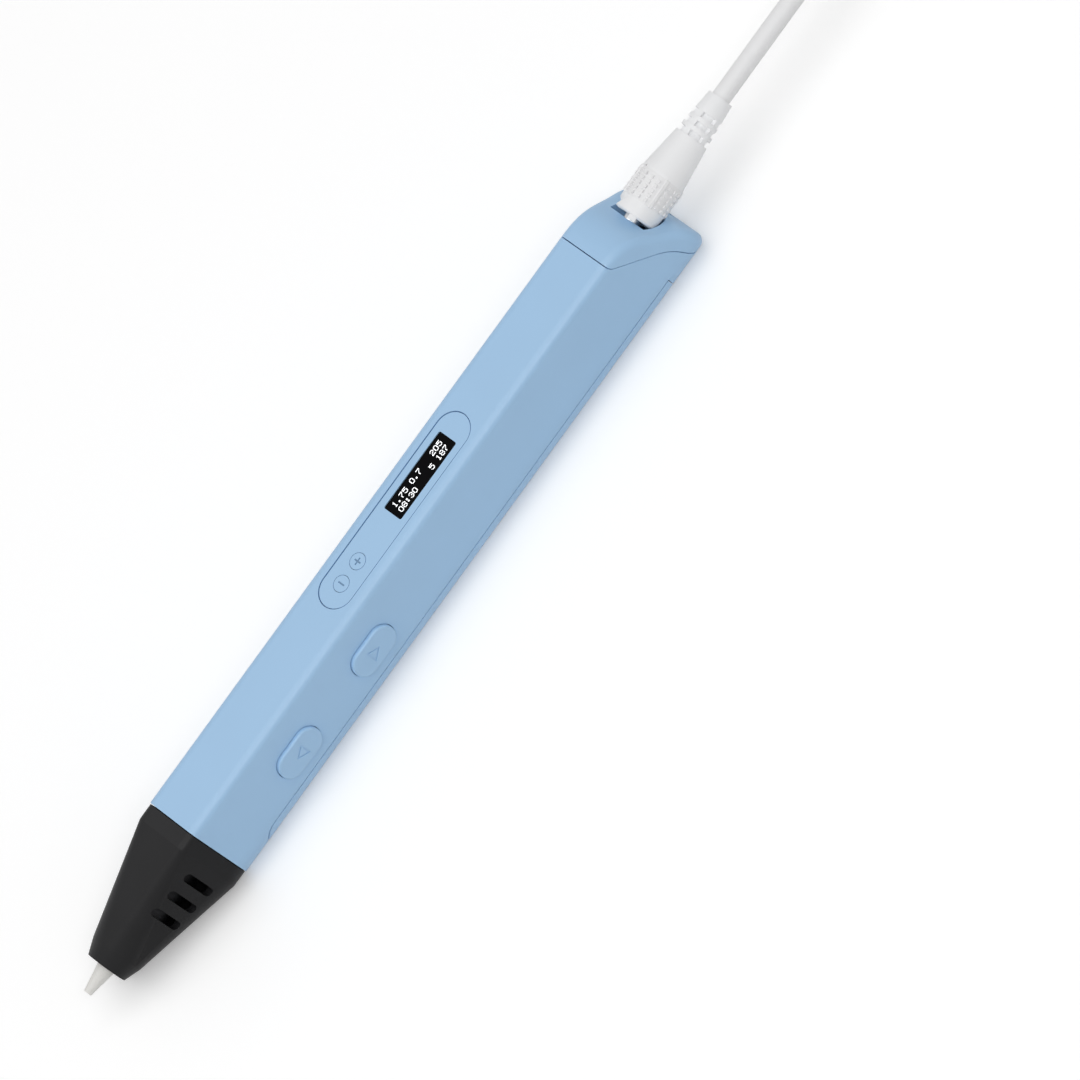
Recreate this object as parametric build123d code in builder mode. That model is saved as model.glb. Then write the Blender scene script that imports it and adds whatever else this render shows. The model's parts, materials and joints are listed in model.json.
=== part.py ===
"""Hand-held 3D printing pen with its plugged-in power cord, as separate named pieces.

The pen lies on its flat bottom along X, nozzle towards -X, display face up.
The side buttons face -Y. The origin is under the middle of the body, on the surface
that the pen lies on.
"""

import os
from math import acos, cos, pi, radians, sin, tan

from build123d import *

# ---------------------------------------------------------------- driving dimensions (mm)
# Body section: a top face narrower than the base, sides that lean out, a round underside
AXIS_HEIGHT = 8.4
BODY_HEIGHT = 19.6
TOP_HALF = 6.28
SIDE_LEAN = 15.0
BOTTOM_RADIUS = 5.9
RIDGE_RADIUS = 1.8
WALL = 1.5
SEAM = 0.2
SLIP = 0.1
LIP_HEIGHT = 0.9

# Stations along the pen
NOZZLE_TIP_X = -90.0
REAR_X = 90.0
BODY_FRONT_X = -54.5
COLLAR_X = -58.0
NOSE_TAPER_X = -80.8
NOSE_FRONT_X = -84.1
FALL_START_X = 74.4
FALL_FOOT = 3.2
FALL_CURVE = ((7.1, 2.2, 56.0), (11.8, 7.6, 31.0))  # run, drop and angle faced
COVER_FRONT_X = -47.5
COVER_REAR_X = 79.7

# Nose cone and nozzle
NOSE_STEP = 0.18
NOSE_TAPER_RADIUS = 5.3
NOSE_FRONT_RADIUS = 4.1
SPIGOT_LENGTH = 1.9
VENT_WIDTH = 1.85
VENT_TOP = 14.6
VENT_BOTTOM = 7.3
VENT_POSITIONS = (-70.2, -65.9, -61.6)
NOZZLE_TIP_RADIUS = 0.8
NOZZLE_RADIUS = 1.8
NOZZLE_CONE = 5.7
NOZZLE_FLANGE_RADIUS = 2.6
NOZZLE_REAR_X = -79.0
NOZZLE_ORIFICE = 0.35

# Filament and its path
FILAMENT_RADIUS = 0.875
INLET_HEIGHT = 5.0
GUIDE_OUTER = 1.5
GUIDE_BORE = 1.0
INLET_BUSH_RADIUS = 2.1
INLET_BUSH_LENGTH = 2.9

# Hot end
HOT_TUBE_RADIUS = 2.0
HOT_TUBE_REAR_X = -55.4
HEATER_FRONT_X = -77.0
HEATER_LENGTH = 11.0
HEATER_RADIUS = 3.2
SHIELD_FRONT_X = -75.0
SHIELD_RADIUS = 4.2
SHIELD_THICKNESS = 0.4
HOT_PLATE_X = -57.4
PLATE_THICKNESS = 1.4

# Feed drive
MODULE = 0.3
PINION_TEETH = 10
GEAR_TEETH = 18
STUB = 0.7
BACKLASH = 0.06
PRESSURE_ANGLE = 20.0
SCREW_ANGLE = 30.0
MESH_ANGLE = 26.3
SCREW_RADIUS = 3.4
BITE = 0.175
SHAFT_RADIUS = 0.8
FRONT_WALL_X = -52.4
REAR_WALL_X = -38.5
FRAME_WALL = 1.4
FRAME_CLEARANCE = 0.3
BUSH_RADIUS = 1.5
BUSH_SLIP = 0.03
SCREW_LENGTH = 5.6
SCREW_CENTRE_X = -45.5
THREAD_PITCH = 0.8
THREAD_DEPTH = 0.25
GEAR_WIDTH = 1.8
ROLLER_RADIUS = 2.5
ROLLER_WIDTH = 2.3
ROLLER_PIN_RADIUS = 0.7
ARM_REACH = 5.6
ARM_FRONT = -5.2
ARM_HALF_HEIGHT = 1.2
CHEEK_GAP = 0.15
CHEEK = 0.8
SPRING_OFFSET = -4.0
SPRING_WIRE = 0.3
SPRING_RADIUS = 1.05
SPRING_TURNS = 3.5
SPRING_SLIP = 0.02
SPRING_FLOOR = 6.4
MOTOR_RADIUS = 4.0
GEARBOX_LENGTH = 11.0
MOTOR_LENGTH = 15.5
LEAD_RADIUS = 0.45
HEATER_LEAD_AT = (-5.9, 6.4)
HEATER_EXIT_AT = (-2.8, 7.6)

# Display panel and its two buttons
PANEL_CENTRE_X = 15.6
PANEL_LENGTH = 43.7
PANEL_WIDTH = 7.9
PANEL_THICKNESS = 1.0
PANEL_SINK = 0.12
WINDOW_CENTRE_X = 23.55
WINDOW_LENGTH = 17.5
WINDOW_WIDTH = 4.8
WINDOW_THICKNESS = 0.8
WINDOW_CORNER = 0.4
OLED_LENGTH = 21.0
OLED_WIDTH = 6.4
OLED_THICKNESS = 1.4
MINUS_X = -1.1
PLUS_X = 4.0
ROUND_BUTTON_RADIUS = 1.65
ROUND_TRAVEL = 0.3
TOP_SWITCH_HEIGHT = 1.3
SIGN_LENGTH = 1.6
SIGN_WIDTH = 0.32
SIGN_DEPTH = 0.15
FLANGE_EXTRA = 0.55
FLANGE_THICKNESS = 0.5

# Side buttons
FEED_BUTTON_X = -30.8
RETRACT_BUTTON_X = -7.6
BUTTON_LENGTH = 11.0
BUTTON_WIDTH = 6.0
BUTTON_PROUD = 0.85
BUTTON_DOWN_FACE = 8.9
BUTTON_TRAVEL = 0.5
BUTTON_SLIP = 0.12
BUTTON_EDGE = 0.45
ARROW_LENGTH = 2.6
ARROW_HALF = 1.5
ARROW_LINE = 0.3
ARROW_DEPTH = 0.15
KEY_BOARD_LENGTH = 34.6
KEY_BOARD_WIDTH = 5.0
KEY_BOARD_DEPTH = 4.25
BOARD_THICKNESS = 0.8
SWITCH_LENGTH = 4.0
SWITCH_WIDTH = 3.0
SWITCH_HEIGHT = 1.3
PLUNGER_RADIUS = 0.6

# Main board
MAIN_BOARD_TOP = 15.6
MAIN_BOARD_FRONT_X = -5.8
MAIN_BOARD_REAR_X = 62.0
MAIN_BOARD_HALF = 5.4
POST_RADIUS = 0.95
BOARD_SCREW_RADIUS = 0.5
BOARD_POSTS = ((8.8, 4.35), (38.6, 4.2), (58.0, 4.2))

# Bottom cover screws
COVER_SCREWS = ((25.0, 5.0), (61.0, 5.0))
COVER_SCREW_RADIUS = 0.9
SCREW_HEAD_RADIUS = 1.7
SCREW_HEAD_HEIGHT = 1.1
SCREW_SINK = 0.25
BOSS_RADIUS = 2.0
BOSS_TOP = 10.4

# Power jack and plug
PLUG_HEIGHT = 12.7
POCKET_RADIUS = 4.9
POCKET_FLOOR_X = 84.3
JACK_FACE_X = 82.4
JACK_LENGTH = 11.0
JACK_HALF = 3.0
BARREL_RADIUS = 1.75
BARREL_LENGTH = 9.5
BARREL_ROOT = 6.0
JACK_BORE_DEPTH = 7.6
PIN_RADIUS = 0.6
PLUG_RIM_X = 85.2
PLUG_RADIUS = 4.475
PLUG_CYLINDER = 9.6
PLUG_TAPER = 8.5
PLUG_TAPER_RADIUS = 3.4
GRIP_START = 3.1
GRIP_LENGTH = 5.5
GRIP_DEPTH = 0.35
GRIP_RAIL = 1.1
GRIP_TURN = 49.0
RELIEF_CORE = 2.25
RELIEF_RAIL = 2.85
RELIEF_RINGS = ((1.2, 0.9, 3.2), (3.2, 0.9, 3.0))
COLLAR_START = 5.2
COLLAR_LENGTH = 3.9
COLLAR_RADII = (2.9, 2.55)

# Cord
CORD_RADIUS = 1.9
CORD_LIFT = 0.7
ROUTE = (
    (112.4, 0.0, 12.7),
    (147.0, 0.0, 12.7),
    (181.0, 6.0, 5.6),
    (205.0, 12.2, 3.0),
    (219.0, 13.3, 3.4),
)
TAIL_ROUTE = (
    (193.5, -9.2, 3.95),
    (203.0, -9.2, 3.95),
    (211.5, -12.9, 3.2),
)
HANK_START_X = 198.0
HANK_LENGTH = 68.0
HANK_WIDTH = 34.2
HANK_WAIST = 25.8
HANK_BUNDLE = 7.6
HANK_HEIGHT = 11.4
TIE_WIDTH = 9.0
TIE_THICKNESS = 0.6
USB_BODY = (22.0, 15.8, 7.9)
USB_SHELL = (12.0, 12.0, 4.5)
USB_RELIEF = 6.0
USB_ROOT = 6.0

# ---------------------------------------------------------------- derived places
LEAN = radians(SIDE_LEAN)
SIDE_Y = TOP_HALF + BUTTON_DOWN_FACE * sin(LEAN)
SIDE_Z = BODY_HEIGHT - BUTTON_DOWN_FACE * cos(LEAN)
FEED_OFFSET = SCREW_RADIUS + FILAMENT_RADIUS - BITE
SCREW_Y = -FEED_OFFSET * sin(radians(SCREW_ANGLE))
SCREW_Z = AXIS_HEIGHT + FEED_OFFSET * cos(radians(SCREW_ANGLE))
CENTRE_DISTANCE = MODULE * (PINION_TEETH + GEAR_TEETH) / 2
MOTOR_Y = SCREW_Y + CENTRE_DISTANCE * cos(radians(MESH_ANGLE))
MOTOR_Z = SCREW_Z + CENTRE_DISTANCE * sin(radians(MESH_ANGLE))
ROLLER_OFFSET = FILAMENT_RADIUS + ROLLER_RADIUS
GEAR_X = REAR_WALL_X - 0.4 - GEAR_WIDTH
GEARBOX_X = REAR_WALL_X + FRAME_WALL
MAIN_BOARD_Z = MAIN_BOARD_TOP - 1.0
TOP_CEILING = BODY_HEIGHT - WALL
RELIEF_X = PLUG_RIM_X + PLUG_CYLINDER + PLUG_TAPER
INLET_BUSH_X = REAR_X - 0.35 - INLET_BUSH_LENGTH
EQUATOR = BOTTOM_RADIUS
WIDE = (-20, 20)
TALL = (-1, BODY_HEIGHT + 1)
ARM_PLANE = Plane(
    origin=(SCREW_CENTRE_X, 0, AXIS_HEIGHT),
    x_dir=(1, 0, 0),
    z_dir=(0, cos(radians(SCREW_ANGLE)), sin(radians(SCREW_ANGLE))),
)

os.makedirs("parts", exist_ok=True)


def save(piece, name):
    """Label a finished piece and write it as a node of its own."""
    piece.label = name
    export_step(piece, f"parts/{name}.step")


def across(x, y=0.0, z=0.0):
    """Plane that faces +X at the given place, its axes along Y and Z."""
    return Plane(origin=(x, y, z), x_dir=(0, 1, 0), z_dir=(1, 0, 0))


def on_side(x, depth=0.0):
    """Plane on the button side at station x, sunk by depth and facing out."""
    outward = Vector(0, -cos(LEAN), sin(LEAN))
    return Plane(
        origin=Vector(x, -SIDE_Y, SIDE_Z) - outward * depth, x_dir=(1, 0, 0), z_dir=outward
    )


def disc(plane, radius, bore=0.0):
    """Round sketch on a plane, with a bore if one is given."""
    with BuildSketch(plane) as outline:
        Circle(radius)
        if bore:
            Circle(bore, mode=Mode.SUBTRACT)
    return outline.sketch


def tube(x, length, radius, bore=0.0, y=0.0, z=AXIS_HEIGHT):
    """Round bar or tube along X that starts at x."""
    with BuildPart() as bar:
        extrude(disc(across(x, y, z), radius, bore), amount=length)
    return bar.part


def block(x, y, z):
    """Box between the two bounds given for each axis."""
    size = (x[1] - x[0], y[1] - y[0], z[1] - z[0])
    centre = (sum(x) / 2, sum(y) / 2, sum(z) / 2)
    with BuildPart() as solid:
        with Locations(centre):
            Box(*size)
    return solid.part


# ---------------------------------------------------------------- body forms
def section(x, inset=0.0, ridge=0.0):
    """Body section at x with its walls moved inwards by inset."""
    low_half = TOP_HALF + (BODY_HEIGHT - inset) * tan(LEAN) - inset / cos(LEAN)
    high_half = TOP_HALF + inset * tan(LEAN) - inset / cos(LEAN)
    with BuildSketch(Plane.YZ.offset(x)) as outline:
        with BuildLine():
            Polyline(
                (-low_half, inset),
                (low_half, inset),
                (high_half, BODY_HEIGHT - inset),
                (-high_half, BODY_HEIGHT - inset),
                close=True,
            )
        make_face()
        fillet(outline.vertices().group_by(Axis.Y)[0], BOTTOM_RADIUS - inset)
        if ridge:
            fillet(outline.vertices().group_by(Axis.Y)[-1], ridge)
    return outline.sketch


def round_section(x, radius):
    """Almost round section at x with the same corners as the body's section."""
    with BuildSketch(Plane.YZ.offset(x)) as outline:
        with Locations((0, AXIS_HEIGHT)):
            RectangleRounded(2 * radius, 2 * radius, radius - 0.08)
    return outline.sketch


def side_view(inset=0.0):
    """Side view of the body, whose top falls in one curve to the rear face."""
    top, back = BODY_HEIGHT - inset, REAR_X - inset
    knots = [
        (
            FALL_START_X + run - inset * cos(radians(facing)),
            BODY_HEIGHT - drop - inset * sin(radians(facing)),
        )
        for run, drop, facing in FALL_CURVE
    ]
    with BuildSketch(Plane.XZ) as view:
        with BuildLine():
            Spline((FALL_START_X, top), *knots, (back, FALL_FOOT), tangents=((1, 0), (0, -1)))
            Polyline(
                (back, FALL_FOOT),
                (back, inset),
                (COLLAR_X, inset),
                (COLLAR_X, top),
                (FALL_START_X, top),
            )
        make_face()
    return view.sketch


def body_form(inset=0.0):
    """Whole body from the nose seam to the rear, its skin moved inwards by inset."""
    with BuildPart() as form:
        extrude(section(BODY_FRONT_X, inset), amount=REAR_X - BODY_FRONT_X)
        extrude(side_view(inset), amount=BODY_HEIGHT, both=True, mode=Mode.INTERSECT)
        if not inset:
            spine = form.faces().filter_by(
                lambda f: abs(f.normal_at().Y) < 0.001
                and f.center().Z > 1
                and f.center().X > BODY_FRONT_X + 1
            )
            ridges = spine.edges().filter_by(
                lambda e: abs(e.center().Y) > 1 or e.center().Z < 1
            )
            fillet(ridges, RIDGE_RADIUS)
    return form.part


def cap_region(shift=0.0):
    """Space behind the end cap's seam, which falls from the top towards the rear."""
    top_x = FALL_START_X + shift
    with BuildPart() as region:
        with BuildSketch(Plane.XZ) as view:
            with BuildLine():
                Polyline(
                    (top_x, BODY_HEIGHT + 5),
                    (top_x, BODY_HEIGHT - 1.3),
                    (top_x + 9.8, BODY_HEIGHT - 9.8),
                    (top_x + 14.5, -3),
                    (REAR_X + 5, -3),
                    (REAR_X + 5, BODY_HEIGHT + 5),
                    close=True,
                )
            make_face()
            fillet(view.vertices().sort_by_distance((top_x, BODY_HEIGHT - 1.3))[0], 2.5)
            fillet(view.vertices().sort_by_distance((top_x + 9.8, BODY_HEIGHT - 9.8))[0], 12)
        extrude(amount=BODY_HEIGHT, both=True)
    return region.part


def cover_region(inset=0.0):
    """Space of the bottom cover, up to the body's widest line."""
    with BuildPart() as region:
        with BuildSketch(Plane.XZ) as view:
            with BuildLine():
                Polyline(
                    (COVER_FRONT_X + inset, -2),
                    (COVER_REAR_X - inset, -2),
                    (COVER_REAR_X - inset, EQUATOR - inset),
                    (COVER_FRONT_X + inset, EQUATOR - inset),
                    close=True,
                )
            make_face()
            top = view.vertices().group_by(Axis.Y)[-1].sort_by(Axis.X)
            fillet(top[0], 3.3)
            fillet(top[-1], 5.6)
        extrude(amount=BODY_HEIGHT, both=True)
    return region.part


def lip(along, height, inset, thickness=0.8):
    """Pair of lip walls inside the body's straight skin, between two stations."""
    length = along[1] - along[0]
    with BuildPart() as ring:
        extrude(section(along[0], inset), amount=length)
        extrude(section(along[0], inset + thickness), amount=length, mode=Mode.SUBTRACT)
        add(block(along, WIDE, height), mode=Mode.INTERSECT)
    return ring.part


def stadium(plane, length, width, grow=0.0):
    """Round-ended sketch along the plane's x axis."""
    with BuildSketch(plane) as outline:
        SlotOverall(length + 2 * grow, width + 2 * grow)
    return outline.sketch


BODY = body_form()
HOLLOW = body_form(WALL)


# ---------------------------------------------------------------- casing
def make_main_shell():
    """Body shell with its apertures, board posts and screw bosses."""
    with BuildPart() as main_shell:
        add(BODY)
        add(HOLLOW, mode=Mode.SUBTRACT)
        add(cap_region(), mode=Mode.SUBTRACT)
        add(cover_region(), mode=Mode.SUBTRACT)
        extrude(section(BODY_FRONT_X - 1, WALL), amount=3, mode=Mode.SUBTRACT)

        # recess of the display panel, with openings for the display and round buttons
        panel_floor = BODY_HEIGHT - PANEL_THICKNESS
        recess = stadium(Plane.XY.offset(panel_floor), PANEL_LENGTH, PANEL_WIDTH, SLIP)
        recess = Pos(PANEL_CENTRE_X, 0, 0) * recess
        extrude(recess, amount=PANEL_THICKNESS + 1, mode=Mode.SUBTRACT)
        with BuildSketch(Plane.XY.offset(TOP_CEILING - 1)):
            with Locations((WINDOW_CENTRE_X, 0)):
                Rectangle(OLED_LENGTH + 2 * SLIP, OLED_WIDTH + 2 * SLIP)
            with Locations((MINUS_X, 0), (PLUS_X, 0)):
                Circle(ROUND_BUTTON_RADIUS + 0.25)
        extrude(amount=WALL + 1, mode=Mode.SUBTRACT)

        # side button apertures
        for x in (FEED_BUTTON_X, RETRACT_BUTTON_X):
            aperture = stadium(on_side(x, WALL + 0.6), BUTTON_LENGTH, BUTTON_WIDTH, BUTTON_SLIP)
            extrude(aperture, amount=WALL + 2, mode=Mode.SUBTRACT)

        # post that carries the key board between the buttons
        post = disc(on_side((FEED_BUTTON_X + RETRACT_BUTTON_X) / 2, KEY_BOARD_DEPTH), 1.2)
        extrude(post, amount=KEY_BOARD_DEPTH - WALL / 2)

        # posts for the main board, hanging from the top wall
        with BuildSketch(Plane.XY.offset(MAIN_BOARD_TOP)):
            for x, y in BOARD_POSTS:
                with Locations((x, y), (x, -y)):
                    Circle(POST_RADIUS)
                    Circle(BOARD_SCREW_RADIUS, mode=Mode.SUBTRACT)
        extrude(amount=TOP_CEILING - MAIN_BOARD_TOP + 0.2)

        # screw bosses with a rib out to the side wall
        for x, y in COVER_SCREWS:
            for side in (-1, 1):
                reach = sorted((side * y, side * (y + 3.4)))
                add(block((x - 0.6, x + 0.6), reach, (EQUATOR + 0.4, BOSS_TOP)))
        with BuildSketch(Plane.XY.offset(EQUATOR)):
            for x, y in COVER_SCREWS:
                with Locations((x, y), (x, -y)):
                    Circle(BOSS_RADIUS)
        extrude(amount=BOSS_TOP - EQUATOR)
        with BuildSketch(Plane.XY.offset(EQUATOR - 1)):
            for x, y in COVER_SCREWS:
                with Locations((x, y), (x, -y)):
                    Circle(COVER_SCREW_RADIUS + BUSH_SLIP)
        extrude(amount=BOSS_TOP - EQUATOR + 0.4, mode=Mode.SUBTRACT)
    return main_shell.part


def make_bottom_cover():
    """Lower half shell with a locating lip and countersunk screw bosses."""
    with BuildPart() as bottom_cover:
        add(BODY)
        add(HOLLOW, mode=Mode.SUBTRACT)
        add(cover_region(SEAM), mode=Mode.INTERSECT)

        ends = (REAR_WALL_X + FRAME_WALL + 0.5, COVER_REAR_X - 8)
        stops = [ends[0]]
        for x, y in COVER_SCREWS:
            stops += [x - BOSS_RADIUS - 0.4, x + BOSS_RADIUS + 0.4]
        stops.append(ends[1])
        for along in zip(stops[::2], stops[1::2]):
            add(lip(along, (EQUATOR - 1.4, EQUATOR + LIP_HEIGHT), WALL + SLIP))
            add(lip(along, (EQUATOR - 1.4, EQUATOR - SEAM), WALL - 0.2, 0.5))

        seat = SCREW_SINK + SCREW_HEAD_HEIGHT
        with BuildSketch(Plane.XY.offset(WALL)):
            for x, y in COVER_SCREWS:
                with Locations((x, y), (x, -y)):
                    Circle(BOSS_RADIUS)
        extrude(amount=EQUATOR - SEAM - WALL)
        with BuildSketch(Plane.XY):
            for x, y in COVER_SCREWS:
                with Locations((x, y), (x, -y)):
                    Circle(COVER_SCREW_RADIUS + SLIP)
        extrude(amount=EQUATOR, mode=Mode.SUBTRACT)
        with BuildSketch(Plane.XY):
            for x, y in COVER_SCREWS:
                with Locations((x, y), (x, -y)):
                    Circle(SCREW_HEAD_RADIUS + SLIP)
        extrude(amount=seat, mode=Mode.SUBTRACT)
    return bottom_cover.part


def make_end_cap():
    """Rear cap with the scooped plug pocket, the socket hole and the filament inlet."""
    with BuildPart() as end_cap:
        add(BODY)
        add(HOLLOW & block((FALL_START_X - 2, JACK_FACE_X), WIDE, TALL), mode=Mode.SUBTRACT)
        top = (BODY_HEIGHT - 5.2, BODY_HEIGHT - WALL)
        add(lip((FALL_START_X, FALL_START_X + 1.6), top, WALL - 0.2, 0.5))
        add(cap_region(SEAM), mode=Mode.INTERSECT)
        add(lip((FALL_START_X - 1.6, FALL_START_X + 1.6), top, WALL + SLIP))
        room = JACK_HALF + SLIP
        jack_room = (JACK_FACE_X - JACK_LENGTH, JACK_FACE_X)
        add(
            block(jack_room, (-room, room), (PLUG_HEIGHT - room, PLUG_HEIGHT + room)),
            mode=Mode.SUBTRACT,
        )
        pocket = disc(across(POCKET_FLOOR_X, 0, PLUG_HEIGHT), POCKET_RADIUS)
        extrude(pocket, amount=20, mode=Mode.SUBTRACT)
        mouth = disc(across(JACK_FACE_X - 1, 0, PLUG_HEIGHT), BARREL_RADIUS + SLIP)
        extrude(mouth, amount=5, mode=Mode.SUBTRACT)
        inlet = disc(across(REAR_X - 6, 0, INLET_HEIGHT), INLET_BUSH_RADIUS + SLIP / 2)
        extrude(inlet, amount=8, mode=Mode.SUBTRACT)
    return end_cap.part


def make_inlet_bush():
    """Flared bush that leads the filament in at the rear face."""
    with BuildPart() as inlet_bush:
        with BuildSketch(Plane.XZ) as profile:
            with BuildLine():
                Polyline(
                    (INLET_BUSH_X, INLET_HEIGHT + GUIDE_BORE),
                    (REAR_X - 1.3, INLET_HEIGHT + GUIDE_BORE),
                    (REAR_X - 0.35, INLET_HEIGHT + GUIDE_BORE + 0.7),
                    (REAR_X - 0.35, INLET_HEIGHT + INLET_BUSH_RADIUS),
                    (INLET_BUSH_X, INLET_HEIGHT + INLET_BUSH_RADIUS),
                    close=True,
                )
            make_face()
        revolve(axis=Axis((0, 0, INLET_HEIGHT), (1, 0, 0)))
    return inlet_bush.part


def make_nose_cone():
    """Tapered nose from the body's section to a round front, with side vents."""
    spigot = WALL + SLIP
    with BuildPart() as nose_cone:
        extrude(
            section(COLLAR_X, NOSE_STEP, RIDGE_RADIUS - NOSE_STEP),
            amount=BODY_FRONT_X - SEAM - COLLAR_X,
        )
        loft(
            [
                section(COLLAR_X, NOSE_STEP, RIDGE_RADIUS - NOSE_STEP),
                round_section(NOSE_TAPER_X, NOSE_TAPER_RADIUS),
            ],
            ruled=True,
        )
        loft(
            [
                round_section(NOSE_TAPER_X, NOSE_TAPER_RADIUS),
                round_section(NOSE_FRONT_X, NOSE_FRONT_RADIUS),
            ],
            ruled=True,
        )
        extrude(section(COLLAR_X, spigot, 0.6), amount=BODY_FRONT_X + SPIGOT_LENGTH - COLLAR_X)
        loft(
            [
                section(COLLAR_X, WALL + NOSE_STEP, 0.5),
                round_section(NOSE_TAPER_X, NOSE_TAPER_RADIUS - WALL),
            ],
            ruled=True,
            mode=Mode.SUBTRACT,
        )
        cavity_front = NOSE_FRONT_X + WALL
        extrude(
            round_section(cavity_front, NOSE_TAPER_RADIUS - WALL - 0.5),
            amount=NOSE_TAPER_X - cavity_front,
            mode=Mode.SUBTRACT,
        )
        extrude(
            section(COLLAR_X, spigot + 1.0, 0.4),
            amount=BODY_FRONT_X + SPIGOT_LENGTH - COLLAR_X,
            mode=Mode.SUBTRACT,
        )
        mouth = disc(across(NOSE_FRONT_X - 1, 0, AXIS_HEIGHT), NOZZLE_RADIUS + SLIP)
        extrude(mouth, amount=WALL + 2, mode=Mode.SUBTRACT)
        with BuildSketch(Plane.XZ):
            with Locations([(x, (VENT_TOP + VENT_BOTTOM) / 2) for x in VENT_POSITIONS]):
                SlotOverall(VENT_TOP - VENT_BOTTOM, VENT_WIDTH, rotation=90)
        extrude(amount=BODY_HEIGHT, both=True, mode=Mode.SUBTRACT)
    return nose_cone.part


# ---------------------------------------------------------------- display panel
def make_display_panel():
    """Round-ended panel in the top face, with the window seat and the button holes."""
    panel_floor = BODY_HEIGHT - PANEL_THICKNESS
    with BuildPart() as display_panel:
        plate = stadium(Plane.XY.offset(panel_floor), PANEL_LENGTH, PANEL_WIDTH, -SLIP)
        extrude(Pos(PANEL_CENTRE_X, 0, 0) * plate, amount=PANEL_THICKNESS - PANEL_SINK)
        with BuildSketch(Plane.XY.offset(panel_floor - 1)):
            with Locations((WINDOW_CENTRE_X, 0)):
                RectangleRounded(WINDOW_LENGTH, WINDOW_WIDTH, WINDOW_CORNER)
            with Locations((MINUS_X, 0), (PLUS_X, 0)):
                Circle(ROUND_BUTTON_RADIUS + SLIP)
        extrude(amount=PANEL_THICKNESS + 2, mode=Mode.SUBTRACT)
    return display_panel.part


def make_display_window():
    """Dark window that lies in the panel just over the display."""
    with BuildPart() as display_window:
        with BuildSketch(Plane.XY.offset(BODY_HEIGHT - PANEL_THICKNESS)):
            with Locations((WINDOW_CENTRE_X, 0)):
                RectangleRounded(
                    WINDOW_LENGTH - SLIP, WINDOW_WIDTH - SLIP, WINDOW_CORNER - SLIP / 2
                )
        extrude(amount=WINDOW_THICKNESS - PANEL_SINK)
    return display_window.part


def make_oled_module():
    """Display module under the window, with its glass step."""
    with BuildPart() as oled_module:
        top = BODY_HEIGHT - PANEL_THICKNESS - SLIP / 2
        x = (WINDOW_CENTRE_X - OLED_LENGTH / 2, WINDOW_CENTRE_X + OLED_LENGTH / 2)
        half = OLED_WIDTH / 2
        add(block(x, (-half, half), (top - OLED_THICKNESS, top)))
        foot_x = (x[0] + 1, x[0] + 4)
        add(block(foot_x, (-half + 1, half - 1), (MAIN_BOARD_TOP, top - OLED_THICKNESS)))
        add(block((x[1] - 4, x[1] - 1), (-half + 1, half - 1), (MAIN_BOARD_TOP, top - 0.5)))
    return oled_module.part


def make_round_button(x, plus):
    """Round top button with a flange under the shell and an engraved sign."""
    top = BODY_HEIGHT - PANEL_SINK
    with BuildPart() as button:
        with BuildSketch(Plane.XY.offset(TOP_CEILING - SLIP - FLANGE_THICKNESS)):
            with Locations((x, 0)):
                Circle(ROUND_BUTTON_RADIUS + FLANGE_EXTRA)
        extrude(amount=FLANGE_THICKNESS)
        with BuildSketch(Plane.XY.offset(TOP_CEILING - SLIP)):
            with Locations((x, 0)):
                Circle(ROUND_BUTTON_RADIUS)
        extrude(amount=top - TOP_CEILING + SLIP)
        with BuildSketch(Plane.XY.offset(top - SIGN_DEPTH)):
            with Locations((x, 0)):
                Rectangle(SIGN_WIDTH, SIGN_LENGTH)
                if plus:
                    Rectangle(SIGN_LENGTH, SIGN_WIDTH)
        extrude(amount=1, mode=Mode.SUBTRACT)
    return button.part


def make_top_switch(x):
    """Small push switch on the main board under a round button."""
    half = 1.6
    with BuildPart() as switch:
        with BuildSketch(Plane.XY.offset(MAIN_BOARD_TOP)):
            with Locations((x, 0)):
                Rectangle(2 * half, 2 * half)
        extrude(amount=TOP_SWITCH_HEIGHT)
        with BuildSketch(Plane.XY.offset(MAIN_BOARD_TOP + 0.3)):
            with Locations((x, 0)):
                Circle(PLUNGER_RADIUS + SLIP)
        extrude(amount=TOP_SWITCH_HEIGHT, mode=Mode.SUBTRACT)
    return switch.part


def make_top_plunger(x):
    """Plunger that carries a round button's travel into its switch."""
    top = TOP_CEILING - SLIP - FLANGE_THICKNESS
    bottom = MAIN_BOARD_TOP + 0.3 + ROUND_TRAVEL + SLIP
    with BuildPart() as plunger:
        with BuildSketch(Plane.XY.offset(bottom)):
            with Locations((x, 0)):
                Circle(PLUNGER_RADIUS)
        extrude(amount=top - bottom)
    return plunger.part


# ---------------------------------------------------------------- side buttons
def make_side_button(x, heading):
    """Raised side button with a flange inside the wall and an engraved arrow outline."""
    flange_depth = WALL + SLIP + FLANGE_THICKNESS
    tip = heading * ARROW_LENGTH / 2
    corners = [(tip, 0), (-tip, ARROW_HALF), (-tip, -ARROW_HALF)]
    with BuildPart() as button:
        flange = stadium(on_side(x, flange_depth), BUTTON_LENGTH, BUTTON_WIDTH, FLANGE_EXTRA)
        extrude(flange, amount=FLANGE_THICKNESS)
        stem = stadium(on_side(x, WALL + SLIP), BUTTON_LENGTH, BUTTON_WIDTH)
        extrude(stem, amount=WALL + SLIP + BUTTON_PROUD)
        outward = on_side(x).z_dir
        rim = button.faces().sort_by(lambda f: f.center().dot(outward))[-1].edges()
        fillet(rim, BUTTON_EDGE)
        with BuildSketch(on_side(x, -BUTTON_PROUD + ARROW_DEPTH)):
            with BuildLine():
                Polyline(*corners, close=True)
            make_face()
            offset(amount=-ARROW_LINE, kind=Kind.INTERSECTION, mode=Mode.SUBTRACT)
        extrude(amount=1, mode=Mode.SUBTRACT)
    return button.part


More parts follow.
